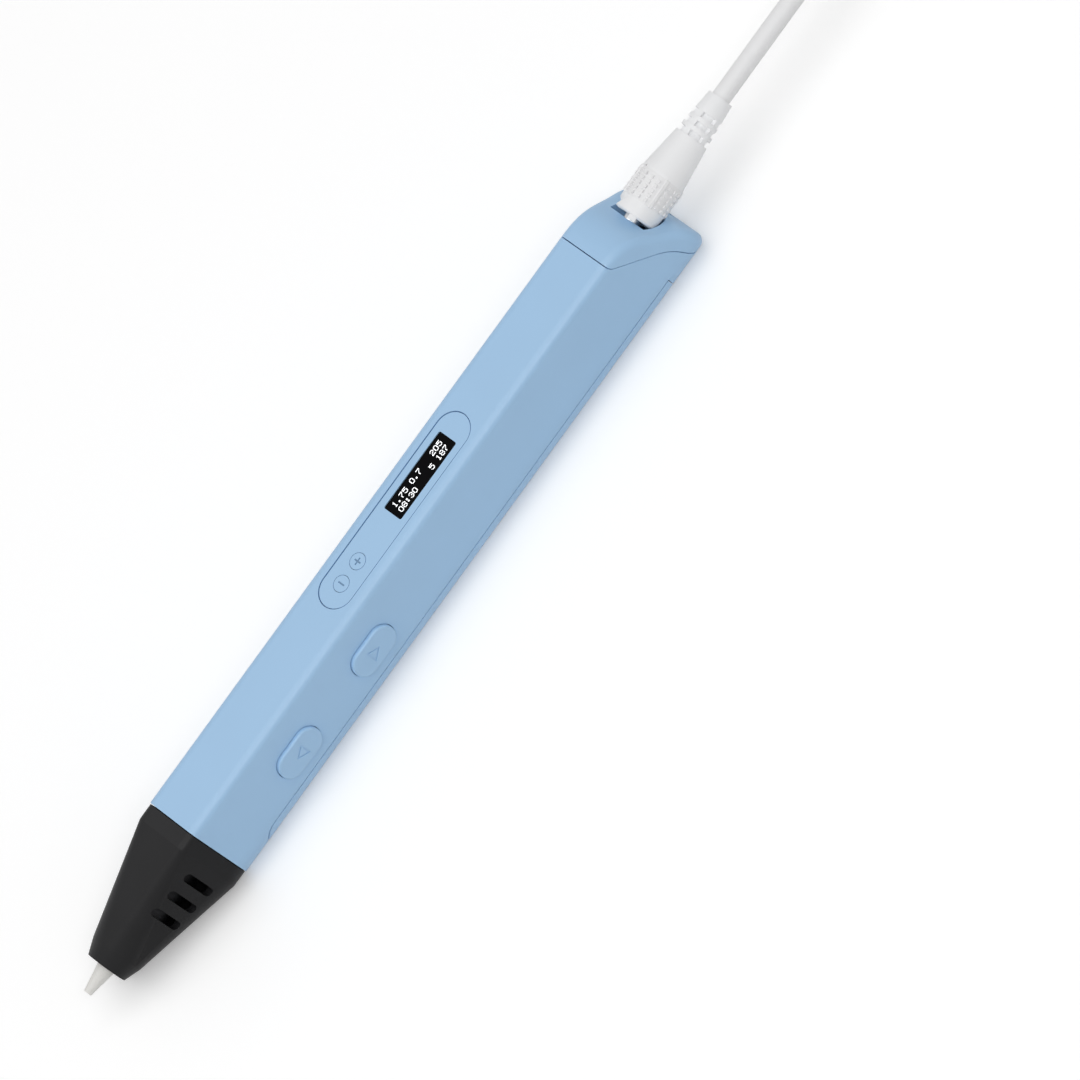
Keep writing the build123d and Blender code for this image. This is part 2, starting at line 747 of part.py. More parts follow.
def make_side_switch(x):
    """Flat push switch on the key board behind a side button."""
    with BuildPart() as switch:
        with BuildSketch(on_side(x, KEY_BOARD_DEPTH)):
            Rectangle(SWITCH_LENGTH, SWITCH_WIDTH)
        extrude(amount=SWITCH_HEIGHT)
        with BuildSketch(on_side(x, KEY_BOARD_DEPTH - 0.3)):
            Circle(PLUNGER_RADIUS + SLIP)
        extrude(amount=SWITCH_HEIGHT, mode=Mode.SUBTRACT)
    return switch.part


def make_side_plunger(x):
    """Plunger between a side button's flange and its switch."""
    top = WALL + SLIP + FLANGE_THICKNESS
    bottom = KEY_BOARD_DEPTH - 0.3 - SLIP - BUTTON_TRAVEL
    with BuildPart() as plunger:
        extrude(disc(on_side(x, bottom), PLUNGER_RADIUS), amount=bottom - top)
    return plunger.part


def make_key_board():
    """Narrow circuit board that carries both side switches."""
    middle = (FEED_BUTTON_X + RETRACT_BUTTON_X) / 2
    with BuildPart() as key_board:
        with BuildSketch(on_side(middle, KEY_BOARD_DEPTH + BOARD_THICKNESS)):
            Rectangle(KEY_BOARD_LENGTH, KEY_BOARD_WIDTH)
        extrude(amount=BOARD_THICKNESS)
    return key_board.part


# ---------------------------------------------------------------- electronics
def make_main_board():
    """Main circuit board under the top wall."""
    with BuildPart() as main_board:
        half = MAIN_BOARD_HALF
        x = (MAIN_BOARD_FRONT_X, MAIN_BOARD_REAR_X)
        add(block(x, (-half, half), (MAIN_BOARD_Z, MAIN_BOARD_TOP)))
        with BuildSketch(Plane.XY.offset(MAIN_BOARD_Z)):
            for post_x, y in BOARD_POSTS:
                with Locations((post_x, y), (post_x, -y)):
                    Circle(BOARD_SCREW_RADIUS + SLIP)
        extrude(amount=1, mode=Mode.SUBTRACT)
    return main_board.part


def make_board_screws():
    """Six small screws that hold the main board to its posts."""
    with BuildPart() as board_screws:
        for x, y in BOARD_POSTS:
            for side in (-1, 1):
                with BuildSketch(Plane.XY.offset(MAIN_BOARD_Z - 0.6)):
                    with Locations((x, side * y)):
                        Circle(POST_RADIUS)
                extrude(amount=0.6)
                with BuildSketch(Plane.XY.offset(MAIN_BOARD_Z)):
                    with Locations((x, side * y)):
                        Circle(BOARD_SCREW_RADIUS)
                extrude(amount=TOP_CEILING - MAIN_BOARD_Z - 0.3)
    return board_screws.part


def make_chip(x, y, length, width, height):
    """Flat chip under the main board."""
    with BuildPart() as chip:
        ends = (x - length / 2, x + length / 2)
        sides = (y - width / 2, y + width / 2)
        add(block(ends, sides, (MAIN_BOARD_Z - height, MAIN_BOARD_Z)))
        chamfer(chip.faces().sort_by(Axis.Z)[0].edges(), 0.15)
    return chip.part


def make_capacitor():
    """Upright electrolytic capacitor under the main board."""
    with BuildPart() as capacitor:
        with BuildSketch(Plane.XY.offset(MAIN_BOARD_Z)):
            with Locations((50, 2.6)):
                Circle(2.0)
        extrude(amount=-4.6)
        fillet(capacitor.faces().sort_by(Axis.Z)[0].edges(), 0.3)
    return capacitor.part


def make_power_board():
    """Small board that carries the power jack."""
    with BuildPart() as power_board:
        top = PLUG_HEIGHT - JACK_HALF
        x = (JACK_FACE_X - JACK_LENGTH - 5, JACK_FACE_X - 1)
        add(block(x, (-4.2, 4.2), (top - BOARD_THICKNESS, top)))
    return power_board.part


def make_power_jack():
    """Socket housing with its bore facing the rear."""
    with BuildPart() as power_jack:
        x = (JACK_FACE_X - JACK_LENGTH, JACK_FACE_X)
        z = (PLUG_HEIGHT - JACK_HALF, PLUG_HEIGHT + JACK_HALF)
        add(block(x, (-JACK_HALF, JACK_HALF), z))
        bore = disc(across(JACK_FACE_X - JACK_BORE_DEPTH, 0, PLUG_HEIGHT), BARREL_RADIUS + SLIP)
        extrude(bore, amount=JACK_BORE_DEPTH, mode=Mode.SUBTRACT)
        pin_hole = disc(across(JACK_FACE_X - JACK_LENGTH, 0, PLUG_HEIGHT), PIN_RADIUS)
        extrude(pin_hole, amount=JACK_LENGTH, mode=Mode.SUBTRACT)
    return power_jack.part


def lead(points, radius, bend):
    """Round wire along a list of points, its corners bent to one radius."""
    with BuildPart() as wire:
        with BuildLine() as path:
            FilletPolyline(*points, radius=bend)
        with BuildSketch(Plane(origin=path.line @ 0, z_dir=path.line % 0)):
            Circle(radius)
        sweep(path=path.line)
    return wire.part


# ---------------------------------------------------------------- hot end
def make_nozzle():
    """Ceramic nozzle with a conical tip, a flange behind the nose and a stepped bore."""
    front = NOSE_FRONT_X + WALL + 0.2
    with BuildPart() as nozzle:
        with BuildSketch(Plane.XZ):
            with BuildLine():
                Polyline(
                    (NOZZLE_TIP_X, AXIS_HEIGHT + NOZZLE_ORIFICE),
                    (NOZZLE_TIP_X, AXIS_HEIGHT + NOZZLE_TIP_RADIUS),
                    (NOZZLE_TIP_X + NOZZLE_CONE, AXIS_HEIGHT + NOZZLE_RADIUS),
                    (front, AXIS_HEIGHT + NOZZLE_RADIUS),
                    (front, AXIS_HEIGHT + NOZZLE_FLANGE_RADIUS),
                    (NOZZLE_REAR_X, AXIS_HEIGHT + NOZZLE_FLANGE_RADIUS),
                    (NOZZLE_REAR_X, AXIS_HEIGHT + HOT_TUBE_RADIUS + BUSH_SLIP),
                    (NOZZLE_REAR_X - 1.4, AXIS_HEIGHT + HOT_TUBE_RADIUS + BUSH_SLIP),
                    (NOZZLE_REAR_X - 1.4, AXIS_HEIGHT + GUIDE_BORE),
                    (NOZZLE_TIP_X + 2.5, AXIS_HEIGHT + GUIDE_BORE),
                    (NOZZLE_TIP_X + 1.4, AXIS_HEIGHT + NOZZLE_ORIFICE),
                    close=True,
                )
            make_face()
        revolve(axis=Axis((0, 0, AXIS_HEIGHT), (1, 0, 0)))
    return nozzle.part


def make_hot_plate():
    """Plate across the nose collar that holds the hot end."""
    with BuildPart() as hot_plate:
        extrude(section(HOT_PLATE_X, WALL + SLIP + 1.15, 0.6), amount=PLATE_THICKNESS)
        hole = disc(across(HOT_PLATE_X, 0, AXIS_HEIGHT), HOT_TUBE_RADIUS + BUSH_SLIP)
        extrude(hole, amount=PLATE_THICKNESS, mode=Mode.SUBTRACT)
        lead_hole = disc(across(HOT_PLATE_X, *HEATER_EXIT_AT), LEAD_RADIUS + SLIP)
        extrude(lead_hole, amount=PLATE_THICKNESS, mode=Mode.SUBTRACT)
    return hot_plate.part


# ---------------------------------------------------------------- feed drive
def involute_gear(teeth, bore, turn):
    """Involute gear sketch about the plane's origin, its first tooth turned by turn degrees."""
    pitch = MODULE * teeth / 2
    base = pitch * cos(radians(PRESSURE_ANGLE))
    outer = pitch + STUB * MODULE
    root = pitch - (STUB + 0.35) * MODULE
    start = max(base, root)

    def flank(radius):
        angle = acos(base / radius)
        rolled = tan(angle) - angle
        at_pitch = tan(radians(PRESSURE_ANGLE)) - radians(PRESSURE_ANGLE)
        half = pi / (2 * teeth) - BACKLASH / (2 * pitch) + at_pitch - rolled
        return (radius * cos(half), radius * sin(half))

    steps = [flank(start + (outer - start) * i / 4) for i in range(5)]
    foot = (root * 0.9, steps[0][1])
    side = [foot, *steps]
    outline = side + [(x, -y) for x, y in reversed(side)]
    with BuildSketch() as gear:
        Circle(root)
        for i in range(teeth):
            with Locations(Rotation(0, 0, turn + i * 360 / teeth)):
                Polygon(*outline, align=None)
        Circle(bore, mode=Mode.SUBTRACT)
    return gear.sketch


def make_pinion():
    """Motor pinion with its shaft."""
    gap_turn = MESH_ANGLE + 180 / PINION_TEETH
    with BuildPart() as drive_pinion:
        place = across(GEAR_X, MOTOR_Y, MOTOR_Z)
        gear = involute_gear(PINION_TEETH, SHAFT_RADIUS / 2, gap_turn)
        extrude(place * gear, amount=GEAR_WIDTH)
        shaft = disc(place, SHAFT_RADIUS - 0.05)
        extrude(shaft, amount=GEARBOX_X + 1.0 - GEAR_X)
    return drive_pinion.part


def make_driven_gear():
    """Gear on the feed screw's shaft."""
    with BuildPart() as driven_gear:
        place = across(GEAR_X, SCREW_Y, SCREW_Z)
        gear = involute_gear(GEAR_TEETH, SHAFT_RADIUS, MESH_ANGLE)
        extrude(place * gear, amount=GEAR_WIDTH)
    return driven_gear.part


def make_feed_screw():
    """Feed screw: a shaft with ring-grooved thread that pulls the filament along."""
    start = SCREW_CENTRE_X - SCREW_LENGTH / 2
    with BuildPart() as feed_screw:
        shaft_start = FRONT_WALL_X + 0.1
        shaft = disc(across(shaft_start, SCREW_Y, SCREW_Z), SHAFT_RADIUS)
        extrude(shaft, amount=REAR_WALL_X + FRAME_WALL - SLIP - shaft_start)
        drum = disc(across(start, SCREW_Y, SCREW_Z), SCREW_RADIUS)
        extrude(drum, amount=SCREW_LENGTH)
        for i in range(1, int(SCREW_LENGTH / THREAD_PITCH)):
            ring_x = start + i * THREAD_PITCH - THREAD_PITCH / 4
            ring = disc(
                across(ring_x, SCREW_Y, SCREW_Z), SCREW_RADIUS + 1, SCREW_RADIUS - THREAD_DEPTH
            )
            extrude(ring, amount=THREAD_PITCH / 2, mode=Mode.SUBTRACT)
    return feed_screw.part


def make_screw_bush(x):
    """Plain bush for the feed screw's shaft in a frame wall."""
    bore = SHAFT_RADIUS + BUSH_SLIP
    return tube(x, FRAME_WALL, BUSH_RADIUS, bore, SCREW_Y, SCREW_Z)


def on_arm(offset=0.0):
    """Plane square to the roller's pin, shifted along the pin."""
    return ARM_PLANE.offset(offset)


def make_drive_frame():
    """Two walls with rails between them that carry the feed drive and the motor."""
    span = REAR_WALL_X + FRAME_WALL - FRONT_WALL_X
    with BuildPart() as drive_frame:
        for x in (FRONT_WALL_X, REAR_WALL_X):
            extrude(section(x, WALL + FRAME_CLEARANCE), amount=FRAME_WALL)
        rails = (FRONT_WALL_X, REAR_WALL_X + FRAME_WALL)
        add(block(rails, (5.3, 6.5), (AXIS_HEIGHT, AXIS_HEIGHT + 3)))
        add(block(rails, (-6.3, -5.1), (AXIS_HEIGHT - 5.5, AXIS_HEIGHT - 3.1)))
        with BuildSketch(on_arm(-1.3)):
            with Locations(((FRONT_WALL_X + rails[1]) / 2 - SCREW_CENTRE_X, SPRING_FLOOR + 0.3)):
                Rectangle(span, 0.6)
        extrude(amount=2.6)
        ear_start = ROLLER_WIDTH / 2 + CHEEK_GAP + CHEEK + SLIP
        for shift in (ear_start, -ear_start - CHEEK):
            with BuildSketch(on_arm(shift)):
                with Locations((ARM_REACH + 0.4, ROLLER_OFFSET)):
                    Rectangle(2.9, 2.8)
            extrude(amount=CHEEK)
        pin_start = -ear_start - CHEEK
        with BuildSketch(on_arm(pin_start)):
            with Locations((ARM_REACH, ROLLER_OFFSET)):
                Circle(ROLLER_PIN_RADIUS + BUSH_SLIP)
        extrude(amount=-2 * pin_start, mode=Mode.SUBTRACT)
        for place, radius in (
            (across(FRONT_WALL_X, 0, AXIS_HEIGHT), GUIDE_OUTER + SLIP),
            (across(FRONT_WALL_X, SCREW_Y, SCREW_Z), BUSH_RADIUS + BUSH_SLIP),
            (across(FRONT_WALL_X, *HEATER_LEAD_AT), LEAD_RADIUS + SLIP),
        ):
            extrude(disc(place, radius), amount=span, mode=Mode.SUBTRACT)
        opening = disc(across(REAR_WALL_X, MOTOR_Y, MOTOR_Z), 1.9)
        extrude(opening, amount=FRAME_WALL, mode=Mode.SUBTRACT)
    return drive_frame.part


def make_idler_arm():
    """Sprung arm with two cheeks around the idler roller."""
    half = ROLLER_WIDTH / 2 + CHEEK_GAP + CHEEK
    inner = ROLLER_WIDTH / 2 + CHEEK_GAP
    rear = ARM_REACH + ARM_HALF_HEIGHT
    middle = (rear + ARM_FRONT) / 2
    with BuildPart() as idler_arm:
        with BuildSketch(on_arm(-half)):
            with Locations((middle, ROLLER_OFFSET)):
                SlotOverall(rear - ARM_FRONT, 2 * ARM_HALF_HEIGHT)
        extrude(amount=2 * half)
        with BuildSketch(on_arm(-inner)):
            with Locations((0, ROLLER_OFFSET)):
                Rectangle(2 * (ROLLER_RADIUS + 0.4), 4 * ARM_HALF_HEIGHT)
        extrude(amount=2 * inner, mode=Mode.SUBTRACT)
        with BuildSketch(on_arm(-half)):
            with Locations((0, ROLLER_OFFSET), (ARM_REACH, ROLLER_OFFSET)):
                Circle(ROLLER_PIN_RADIUS + BUSH_SLIP)
        extrude(amount=2 * half, mode=Mode.SUBTRACT)
    return idler_arm.part


def make_pin(reach, half):
    """Pin square to the filament, at the given reach along the arm."""
    with BuildPart() as pin:
        with BuildSketch(on_arm(-half)):
            with Locations((reach, ROLLER_OFFSET)):
                Circle(ROLLER_PIN_RADIUS)
        extrude(amount=2 * half)
    return pin.part


def make_idler_roller():
    """Roller that presses the filament against the feed screw."""
    with BuildPart() as idler_roller:
        with BuildSketch(on_arm(-ROLLER_WIDTH / 2)):
            with Locations((0, ROLLER_OFFSET)):
                Circle(ROLLER_RADIUS)
                Circle(ROLLER_PIN_RADIUS + BUSH_SLIP, mode=Mode.SUBTRACT)
        extrude(amount=ROLLER_WIDTH)
        chamfer(idler_roller.edges().filter_by(GeomType.CIRCLE).group_by(SortBy.RADIUS)[-1], 0.2)
    return idler_roller.part


def make_idler_spring():
    """Compression spring between the idler arm and the frame's base rail."""
    low = ROLLER_OFFSET + ARM_HALF_HEIGHT + SPRING_WIRE / 2 + SPRING_SLIP
    height = SPRING_FLOOR - SPRING_WIRE / 2 - SPRING_SLIP - low
    start = ARM_PLANE.from_local_coords(Vector(SPRING_OFFSET, low, 0))
    with BuildPart() as idler_spring:
        with BuildLine() as coil:
            Helix(
                pitch=height / SPRING_TURNS,
                height=height,
                radius=SPRING_RADIUS,
                center=start,
                direction=ARM_PLANE.y_dir,
            )
        with BuildSketch(Plane(origin=coil.line @ 0, z_dir=coil.line % 0)):
            Circle(SPRING_WIRE / 2)
        sweep(path=coil.line, is_frenet=True)
    return idler_spring.part


def make_motor():
    """Motor can with its end bell."""
    with BuildPart() as motor:
        start = GEARBOX_X + GEARBOX_LENGTH
        extrude(disc(across(start, MOTOR_Y, MOTOR_Z), MOTOR_RADIUS - 0.1), amount=MOTOR_LENGTH)
        chamfer(motor.faces().sort_by(Axis.X)[-1].edges(), 0.4)
    return motor.part


def make_gearbox():
    """Planetary gearbox on the front of the motor, with a bore for the pinion's shaft."""
    with BuildPart() as gearbox:
        extrude(disc(across(GEARBOX_X, MOTOR_Y, MOTOR_Z), MOTOR_RADIUS), amount=GEARBOX_LENGTH)
        chamfer(gearbox.faces().sort_by(Axis.X)[0].edges(), 0.3)
        bore = disc(across(GEARBOX_X, MOTOR_Y, MOTOR_Z), SHAFT_RADIUS)
        extrude(bore, amount=1.4, mode=Mode.SUBTRACT)
    return gearbox.part


def make_guide_tube():
    """Straight filament tube from the inlet bush to the feed drive."""
    start = Vector(INLET_BUSH_X - 0.3, 0, INLET_HEIGHT)
    end = Vector(REAR_WALL_X + 0.2, 0, AXIS_HEIGHT)
    with BuildPart() as guide_tube:
        place = Plane(origin=start, z_dir=end - start)
        extrude(disc(place, GUIDE_OUTER - SLIP, GUIDE_BORE), amount=(end - start).length)
    return guide_tube.part


# ---------------------------------------------------------------- plug and cord
def make_plug_body():
    """Moulded plug body: straight grip, taper and segmented strain relief."""
    axis = Axis((0, 0, PLUG_HEIGHT), (1, 0, 0))
    taper_x = PLUG_RIM_X + PLUG_CYLINDER
    with BuildPart() as plug_body:
        with BuildSketch(Plane.XZ):
            with BuildLine():
                Polyline(
                    (PLUG_RIM_X, PLUG_HEIGHT),
                    (PLUG_RIM_X, PLUG_HEIGHT + PLUG_RADIUS - 0.3),
                    (PLUG_RIM_X + 0.3, PLUG_HEIGHT + PLUG_RADIUS),
                    (taper_x, PLUG_HEIGHT + PLUG_RADIUS),
                    (RELIEF_X, PLUG_HEIGHT + PLUG_TAPER_RADIUS),
                    (RELIEF_X, PLUG_HEIGHT + RELIEF_CORE),
                    (RELIEF_X + COLLAR_START, PLUG_HEIGHT + RELIEF_CORE),
                    (RELIEF_X + COLLAR_START, PLUG_HEIGHT + COLLAR_RADII[0]),
                    (RELIEF_X + COLLAR_START + COLLAR_LENGTH, PLUG_HEIGHT + COLLAR_RADII[1]),
                    (RELIEF_X + COLLAR_START + COLLAR_LENGTH, PLUG_HEIGHT),
                    close=True,
                )
            make_face()
        revolve(axis=axis)
        grip = across(PLUG_RIM_X + GRIP_START, 0, PLUG_HEIGHT)
        with BuildSketch(grip.rotated((0, 0, GRIP_TURN))):
            Circle(PLUG_RADIUS + 1)
            Circle(PLUG_RADIUS - GRIP_DEPTH, mode=Mode.SUBTRACT)
            Rectangle(2 * PLUG_RADIUS + 2, GRIP_RAIL, mode=Mode.SUBTRACT)
            Rectangle(GRIP_RAIL, 2 * PLUG_RADIUS + 2, mode=Mode.SUBTRACT)
        extrude(amount=GRIP_LENGTH, mode=Mode.SUBTRACT)
        for start, width, radius in RELIEF_RINGS:
            extrude(disc(across(RELIEF_X + start, 0, PLUG_HEIGHT), radius), amount=width)
        with BuildSketch(across(RELIEF_X, 0, PLUG_HEIGHT)):
            Rectangle(2 * RELIEF_RAIL, 1.4)
            Rectangle(1.4, 2 * RELIEF_RAIL)
        extrude(amount=COLLAR_START)
        socket = disc(across(PLUG_RIM_X, 0, PLUG_HEIGHT), BARREL_RADIUS + BUSH_SLIP)
        extrude(socket, amount=BARREL_ROOT, mode=Mode.SUBTRACT)
    return plug_body.part


def make_cord(route):
    """Round cord along a route, each corner as wide as its two runs allow."""
    points = [Vector(*p) for p in route]
    runs = [b - a for a, b in zip(points, points[1:])]
    radii = []
    for before, after in zip(runs, runs[1:]):
        half_turn = radians(before.get_angle(after)) / 2
        radii.append(0.45 * min(before.length, after.length) / tan(half_turn))
    with BuildPart() as cord:
        with BuildLine() as path:
            FilletPolyline(*points, radius=radii)
        with BuildSketch(Plane(origin=points[0], z_dir=runs[0])):
            Circle(CORD_RADIUS)
        sweep(path=path.line)
    length = path.wire().length
    ideal = pi * CORD_RADIUS**2 * length
    print("cord radii", [round(r, 1) for r in radii], "length", round(length, 1))
    print("cord volume over section times length", round(cord.part.volume / ideal, 4))
    return cord.part


def hank_outline(shrink, side):
    """One half of the hank's outline: a round end drawn in towards the tie."""
    centre = HANK_START_X + HANK_LENGTH / 2
    reach = (HANK_LENGTH - HANK_WIDTH) / 2
    with BuildSketch(Plane.XY.offset(CORD_LIFT)) as outline:
        with Locations((centre + side * reach, 0)):
            Circle(HANK_WIDTH / 2 - shrink)
        with Locations((centre + side * (TIE_WIDTH / 2 + 0.5), 0)):
            Rectangle(1, HANK_WAIST - 2 * shrink)
        make_hull()
        with Locations((centre + side * TIE_WIDTH / 4, 0)):
            Rectangle(TIE_WIDTH / 2, HANK_WAIST - 2 * shrink)
    return outline.sketch


def make_cord_hank():
    """Closed solid of the tied hank's outer shape."""
    with BuildPart() as cord_hank:
        for side in (-1, 1):
            extrude(hank_outline(0, side), amount=HANK_HEIGHT)
        for side in (-1, 1):
            extrude(hank_outline(HANK_BUNDLE, side), amount=HANK_HEIGHT, mode=Mode.SUBTRACT)
    return cord_hank.part


def make_cord_tie():
    """Strap round the middle of the hank."""
    centre = HANK_START_X + HANK_LENGTH / 2
    x = (centre - TIE_WIDTH / 2 + SLIP, centre + TIE_WIDTH / 2 - SLIP)
    half = HANK_WAIST / 2 + SLIP
    outer = half + TIE_THICKNESS
    low = CORD_LIFT - SLIP - TIE_THICKNESS
    high = CORD_LIFT + HANK_HEIGHT + SLIP
    with BuildPart() as cord_tie:
        add(block(x, (-outer, outer), (low, high + TIE_THICKNESS)))
        add(block(x, (-half, half), (low + TIE_THICKNESS, high)), mode=Mode.SUBTRACT)
    return cord_tie.part


def make_usb_body():
    """Moulded body of the far plug, with its short strain relief."""
    length, width, height = USB_BODY
    exit_x, y, z = TAIL_ROUTE[0]
    x = (exit_x - USB_RELIEF - length, exit_x - USB_RELIEF)
    with BuildPart() as usb_plug_body:
        add(block(x, (y - width / 2, y + width / 2), (z - height / 2, z + height / 2)))
        fillet(usb_plug_body.edges().filter_by(Axis.X), 1.5)
        fillet(usb_plug_body.faces().sort_by(Axis.X)[-1].edges(), 0.8)
        with BuildSketch(across(x[1] - 1, y, z)):
            Circle(3.0)
        extrude(amount=USB_RELIEF + 1, taper=4)
        length, width, height = USB_SHELL
        slot = (x[0], x[0] + USB_ROOT)
        hollow = block(slot, (y - width / 2, y + width / 2), (z - height / 2, z + height / 2))
        add(hollow, mode=Mode.SUBTRACT)
    return usb_plug_body.part


def make_usb_shell():
    """Metal shell of the far plug."""
    length, width, height = USB_SHELL
    exit_x, y, z = TAIL_ROUTE[0]
    front = exit_x - USB_RELIEF - USB_BODY[0] - length
    x = (front, front + length + USB_ROOT)
    inner = 0.35
    with BuildPart() as usb_shell:
        add(block(x, (y - width / 2, y + width / 2), (z - height / 2, z + height / 2)))
        half = width / 2 - inner
        tall = height / 2 - inner
        cavity_x = (front, front + length + USB_ROOT - 1)
        add(block(cavity_x, (y - half, y + half), (z - tall, z + tall)), mode=Mode.SUBTRACT)
        with BuildSketch(Plane.XY.offset(z)):
            with Locations((front + 6, y - 2.9), (front + 6, y + 2.9)):
                Rectangle(2.2, 2.2)
        extrude(amount=height, mode=Mode.SUBTRACT)
    return usb_shell.part


def make_usb_tongue():
    """Insulating tongue inside the far plug's shell."""
    length, width, height = USB_SHELL
    exit_x, y, z = TAIL_ROUTE[0]
    front = exit_x - USB_RELIEF - USB_BODY[0] - length
    half = width / 2 - 0.4
    floor = z - height / 2 + 0.35
    return block((front + 0.6, front + length + USB_ROOT - 1), (y - half, y + half), (floor, floor + 1.9))


# ---------------------------------------------------------------- write the pieces
save(make_main_shell(), "main_shell")
save(make_bottom_cover(), "bottom_cover")
save(make_end_cap(), "end_cap")
save(make_nose_cone(), "nose_cone")
save(make_inlet_bush(), "inlet_bush")

with BuildPart() as cover_screws:
    for screw_x, screw_y in COVER_SCREWS:
        for hand in (-1, 1):
            head = Plane.XY.offset(SCREW_SINK)
            with BuildSketch(head):
                with Locations((screw_x, hand * screw_y)):
                    Circle(SCREW_HEAD_RADIUS)
            extrude(amount=SCREW_HEAD_HEIGHT)
            with BuildSketch(head):
                with Locations((screw_x, hand * screw_y)):
                    Circle(COVER_SCREW_RADIUS)
            extrude(amount=BOSS_TOP - SCREW_SINK - 0.8)
            with BuildSketch(head):
                with Locations((screw_x, hand * screw_y)):
                    Rectangle(2.2, 0.45)
                    Rectangle(0.45, 2.2)
            extrude(amount=0.5, mode=Mode.SUBTRACT)
save(cover_screws.part, "cover_screws")

save(make_display_panel(), "display_panel")
save(make_display_window(), "display_window")
save(make_oled_module(), "oled_module")
for label, button_x, is_plus in (("minus", MINUS_X, False), ("plus", PLUS_X, True)):
    save(make_round_button(button_x, is_plus), f"{label}_button")
    save(make_top_plunger(button_x), f"{label}_plunger")
for label, button_x, way in (("feed", FEED_BUTTON_X, -1), ("retract", RETRACT_BUTTON_X, 1)):
    save(make_side_button(button_x, way), f"{label}_button")
    save(make_side_plunger(button_x), f"{label}_plunger")
with BuildPart() as top_switches:
    add(make_top_switch(MINUS_X))
    add(make_top_switch(PLUS_X))
save(top_switches.part, "top_switches")
with BuildPart() as side_switches:
    add(make_side_switch(FEED_BUTTON_X))
    add(make_side_switch(RETRACT_BUTTON_X))
save(side_switches.part, "side_switches")
save(make_key_board(), "key_board")

save(make_main_board(), "main_board")
save(make_board_screws(), "board_screws")
with BuildPart() as board_chips:
    add(make_chip(20, 0, 6, 6, 0.9))
    add(make_chip(33, -1.6, 4, 5, 1.1))
save(board_chips.part, "board_chips")
save(make_capacitor(), "capacitor")
save(make_power_board(), "power_board")
save(make_power_jack(), "power_jack")
jack_pin_x = JACK_FACE_X - JACK_LENGTH + 0.2
save(tube(jack_pin_x, JACK_LENGTH - 0.9, PIN_RADIUS - 0.01, 0, 0, PLUG_HEIGHT), "jack_pin")

save(make_nozzle(), "nozzle")
hot_tube_x = NOZZLE_REAR_X - 1.3
save(tube(hot_tube_x, HOT_TUBE_REAR_X - hot_tube_x, HOT_TUBE_RADIUS, GUIDE_BORE), "hot_tube")
save(tube(HEATER_FRONT_X, HEATER_LENGTH, HEATER_RADIUS, HOT_TUBE_RADIUS + 0.04), "heater")
shield_length = HOT_PLATE_X - SHIELD_FRONT_X
shield_bore = SHIELD_RADIUS - SHIELD_THICKNESS
save(tube(SHIELD_FRONT_X, shield_length, SHIELD_RADIUS, shield_bore), "heat_shield")
save(make_hot_plate(), "hot_end_plate")
bead_z = AXIS_HEIGHT + HOT_TUBE_RADIUS + 0.65
save(tube(HEATER_FRONT_X + HEATER_LENGTH + 0.3, 2.2, 0.6, 0, 0, bead_z), "thermistor")
liner_x = HOT_TUBE_REAR_X + 0.1
save(tube(liner_x, FRONT_WALL_X + FRAME_WALL - liner_x, GUIDE_OUTER, GUIDE_BORE), "liner_tube")

save(make_drive_frame(), "drive_frame")
save(make_gearbox(), "gearbox")
save(make_motor(), "motor")
save(make_pinion(), "drive_pinion")
save(make_driven_gear(), "driven_gear")
save(make_feed_screw(), "feed_screw")
with BuildPart() as screw_bushes:
    add(make_screw_bush(FRONT_WALL_X))
    add(make_screw_bush(REAR_WALL_X))
save(screw_bushes.part, "screw_bushes")
arm_half = ROLLER_WIDTH / 2 + CHEEK_GAP + CHEEK
save(make_idler_arm(), "idler_arm")
save(make_idler_roller(), "idler_roller")
save(make_pin(0, arm_half), "roller_pin")
save(make_pin(ARM_REACH, arm_half + SLIP + CHEEK), "arm_pivot_pin")
save(make_idler_spring(), "idler_spring")
save(make_guide_tube(), "guide_tube")

rear_z = PLUG_HEIGHT - JACK_HALF + 0.1
with BuildPart() as power_leads:
    for lead_y in (-1.2, 1.2):
        corners = [
            (JACK_FACE_X - JACK_LENGTH - 3.8, lead_y, rear_z),
            (JACK_FACE_X - JACK_LENGTH - 3.8, lead_y, rear_z + 2.4),
            (MAIN_BOARD_REAR_X - 1.5, lead_y, rear_z + 2.4),
            (MAIN_BOARD_REAR_X - 1.5, lead_y, MAIN_BOARD_Z - 0.1),
        ]
        add(lead(corners, LEAD_RADIUS, 1.0))
save(power_leads.part, "power_leads")
motor_rear = GEARBOX_X + GEARBOX_LENGTH + MOTOR_LENGTH
with BuildPart() as motor_leads:
    for lead_y in (MOTOR_Y - 1.3, MOTOR_Y + 1.3):
        corners = [
            (motor_rear + 0.1, lead_y, MOTOR_Z - 1.6),
            (MAIN_BOARD_FRONT_X + 2.4, lead_y, MOTOR_Z - 1.6),
            (MAIN_BOARD_FRONT_X + 2.4, lead_y, MAIN_BOARD_Z - 0.1),
        ]
        add(lead(corners, LEAD_RADIUS, 0.9))
save(motor_leads.part, "motor_leads")
heater_rear = HEATER_FRONT_X + HEATER_LENGTH
corners = [
    (heater_rear + 0.1, *HEATER_EXIT_AT),
    (HOT_PLATE_X + PLATE_THICKNESS + 0.7, *HEATER_EXIT_AT),
    (FRONT_WALL_X - 0.9, *HEATER_LEAD_AT),
    (MAIN_BOARD_FRONT_X + 2.0, *HEATER_LEAD_AT),
    (MAIN_BOARD_FRONT_X + 3.4, -4.2, MAIN_BOARD_Z - 0.1),
]
save(lead(corners, LEAD_RADIUS, 0.9), "heater_lead")

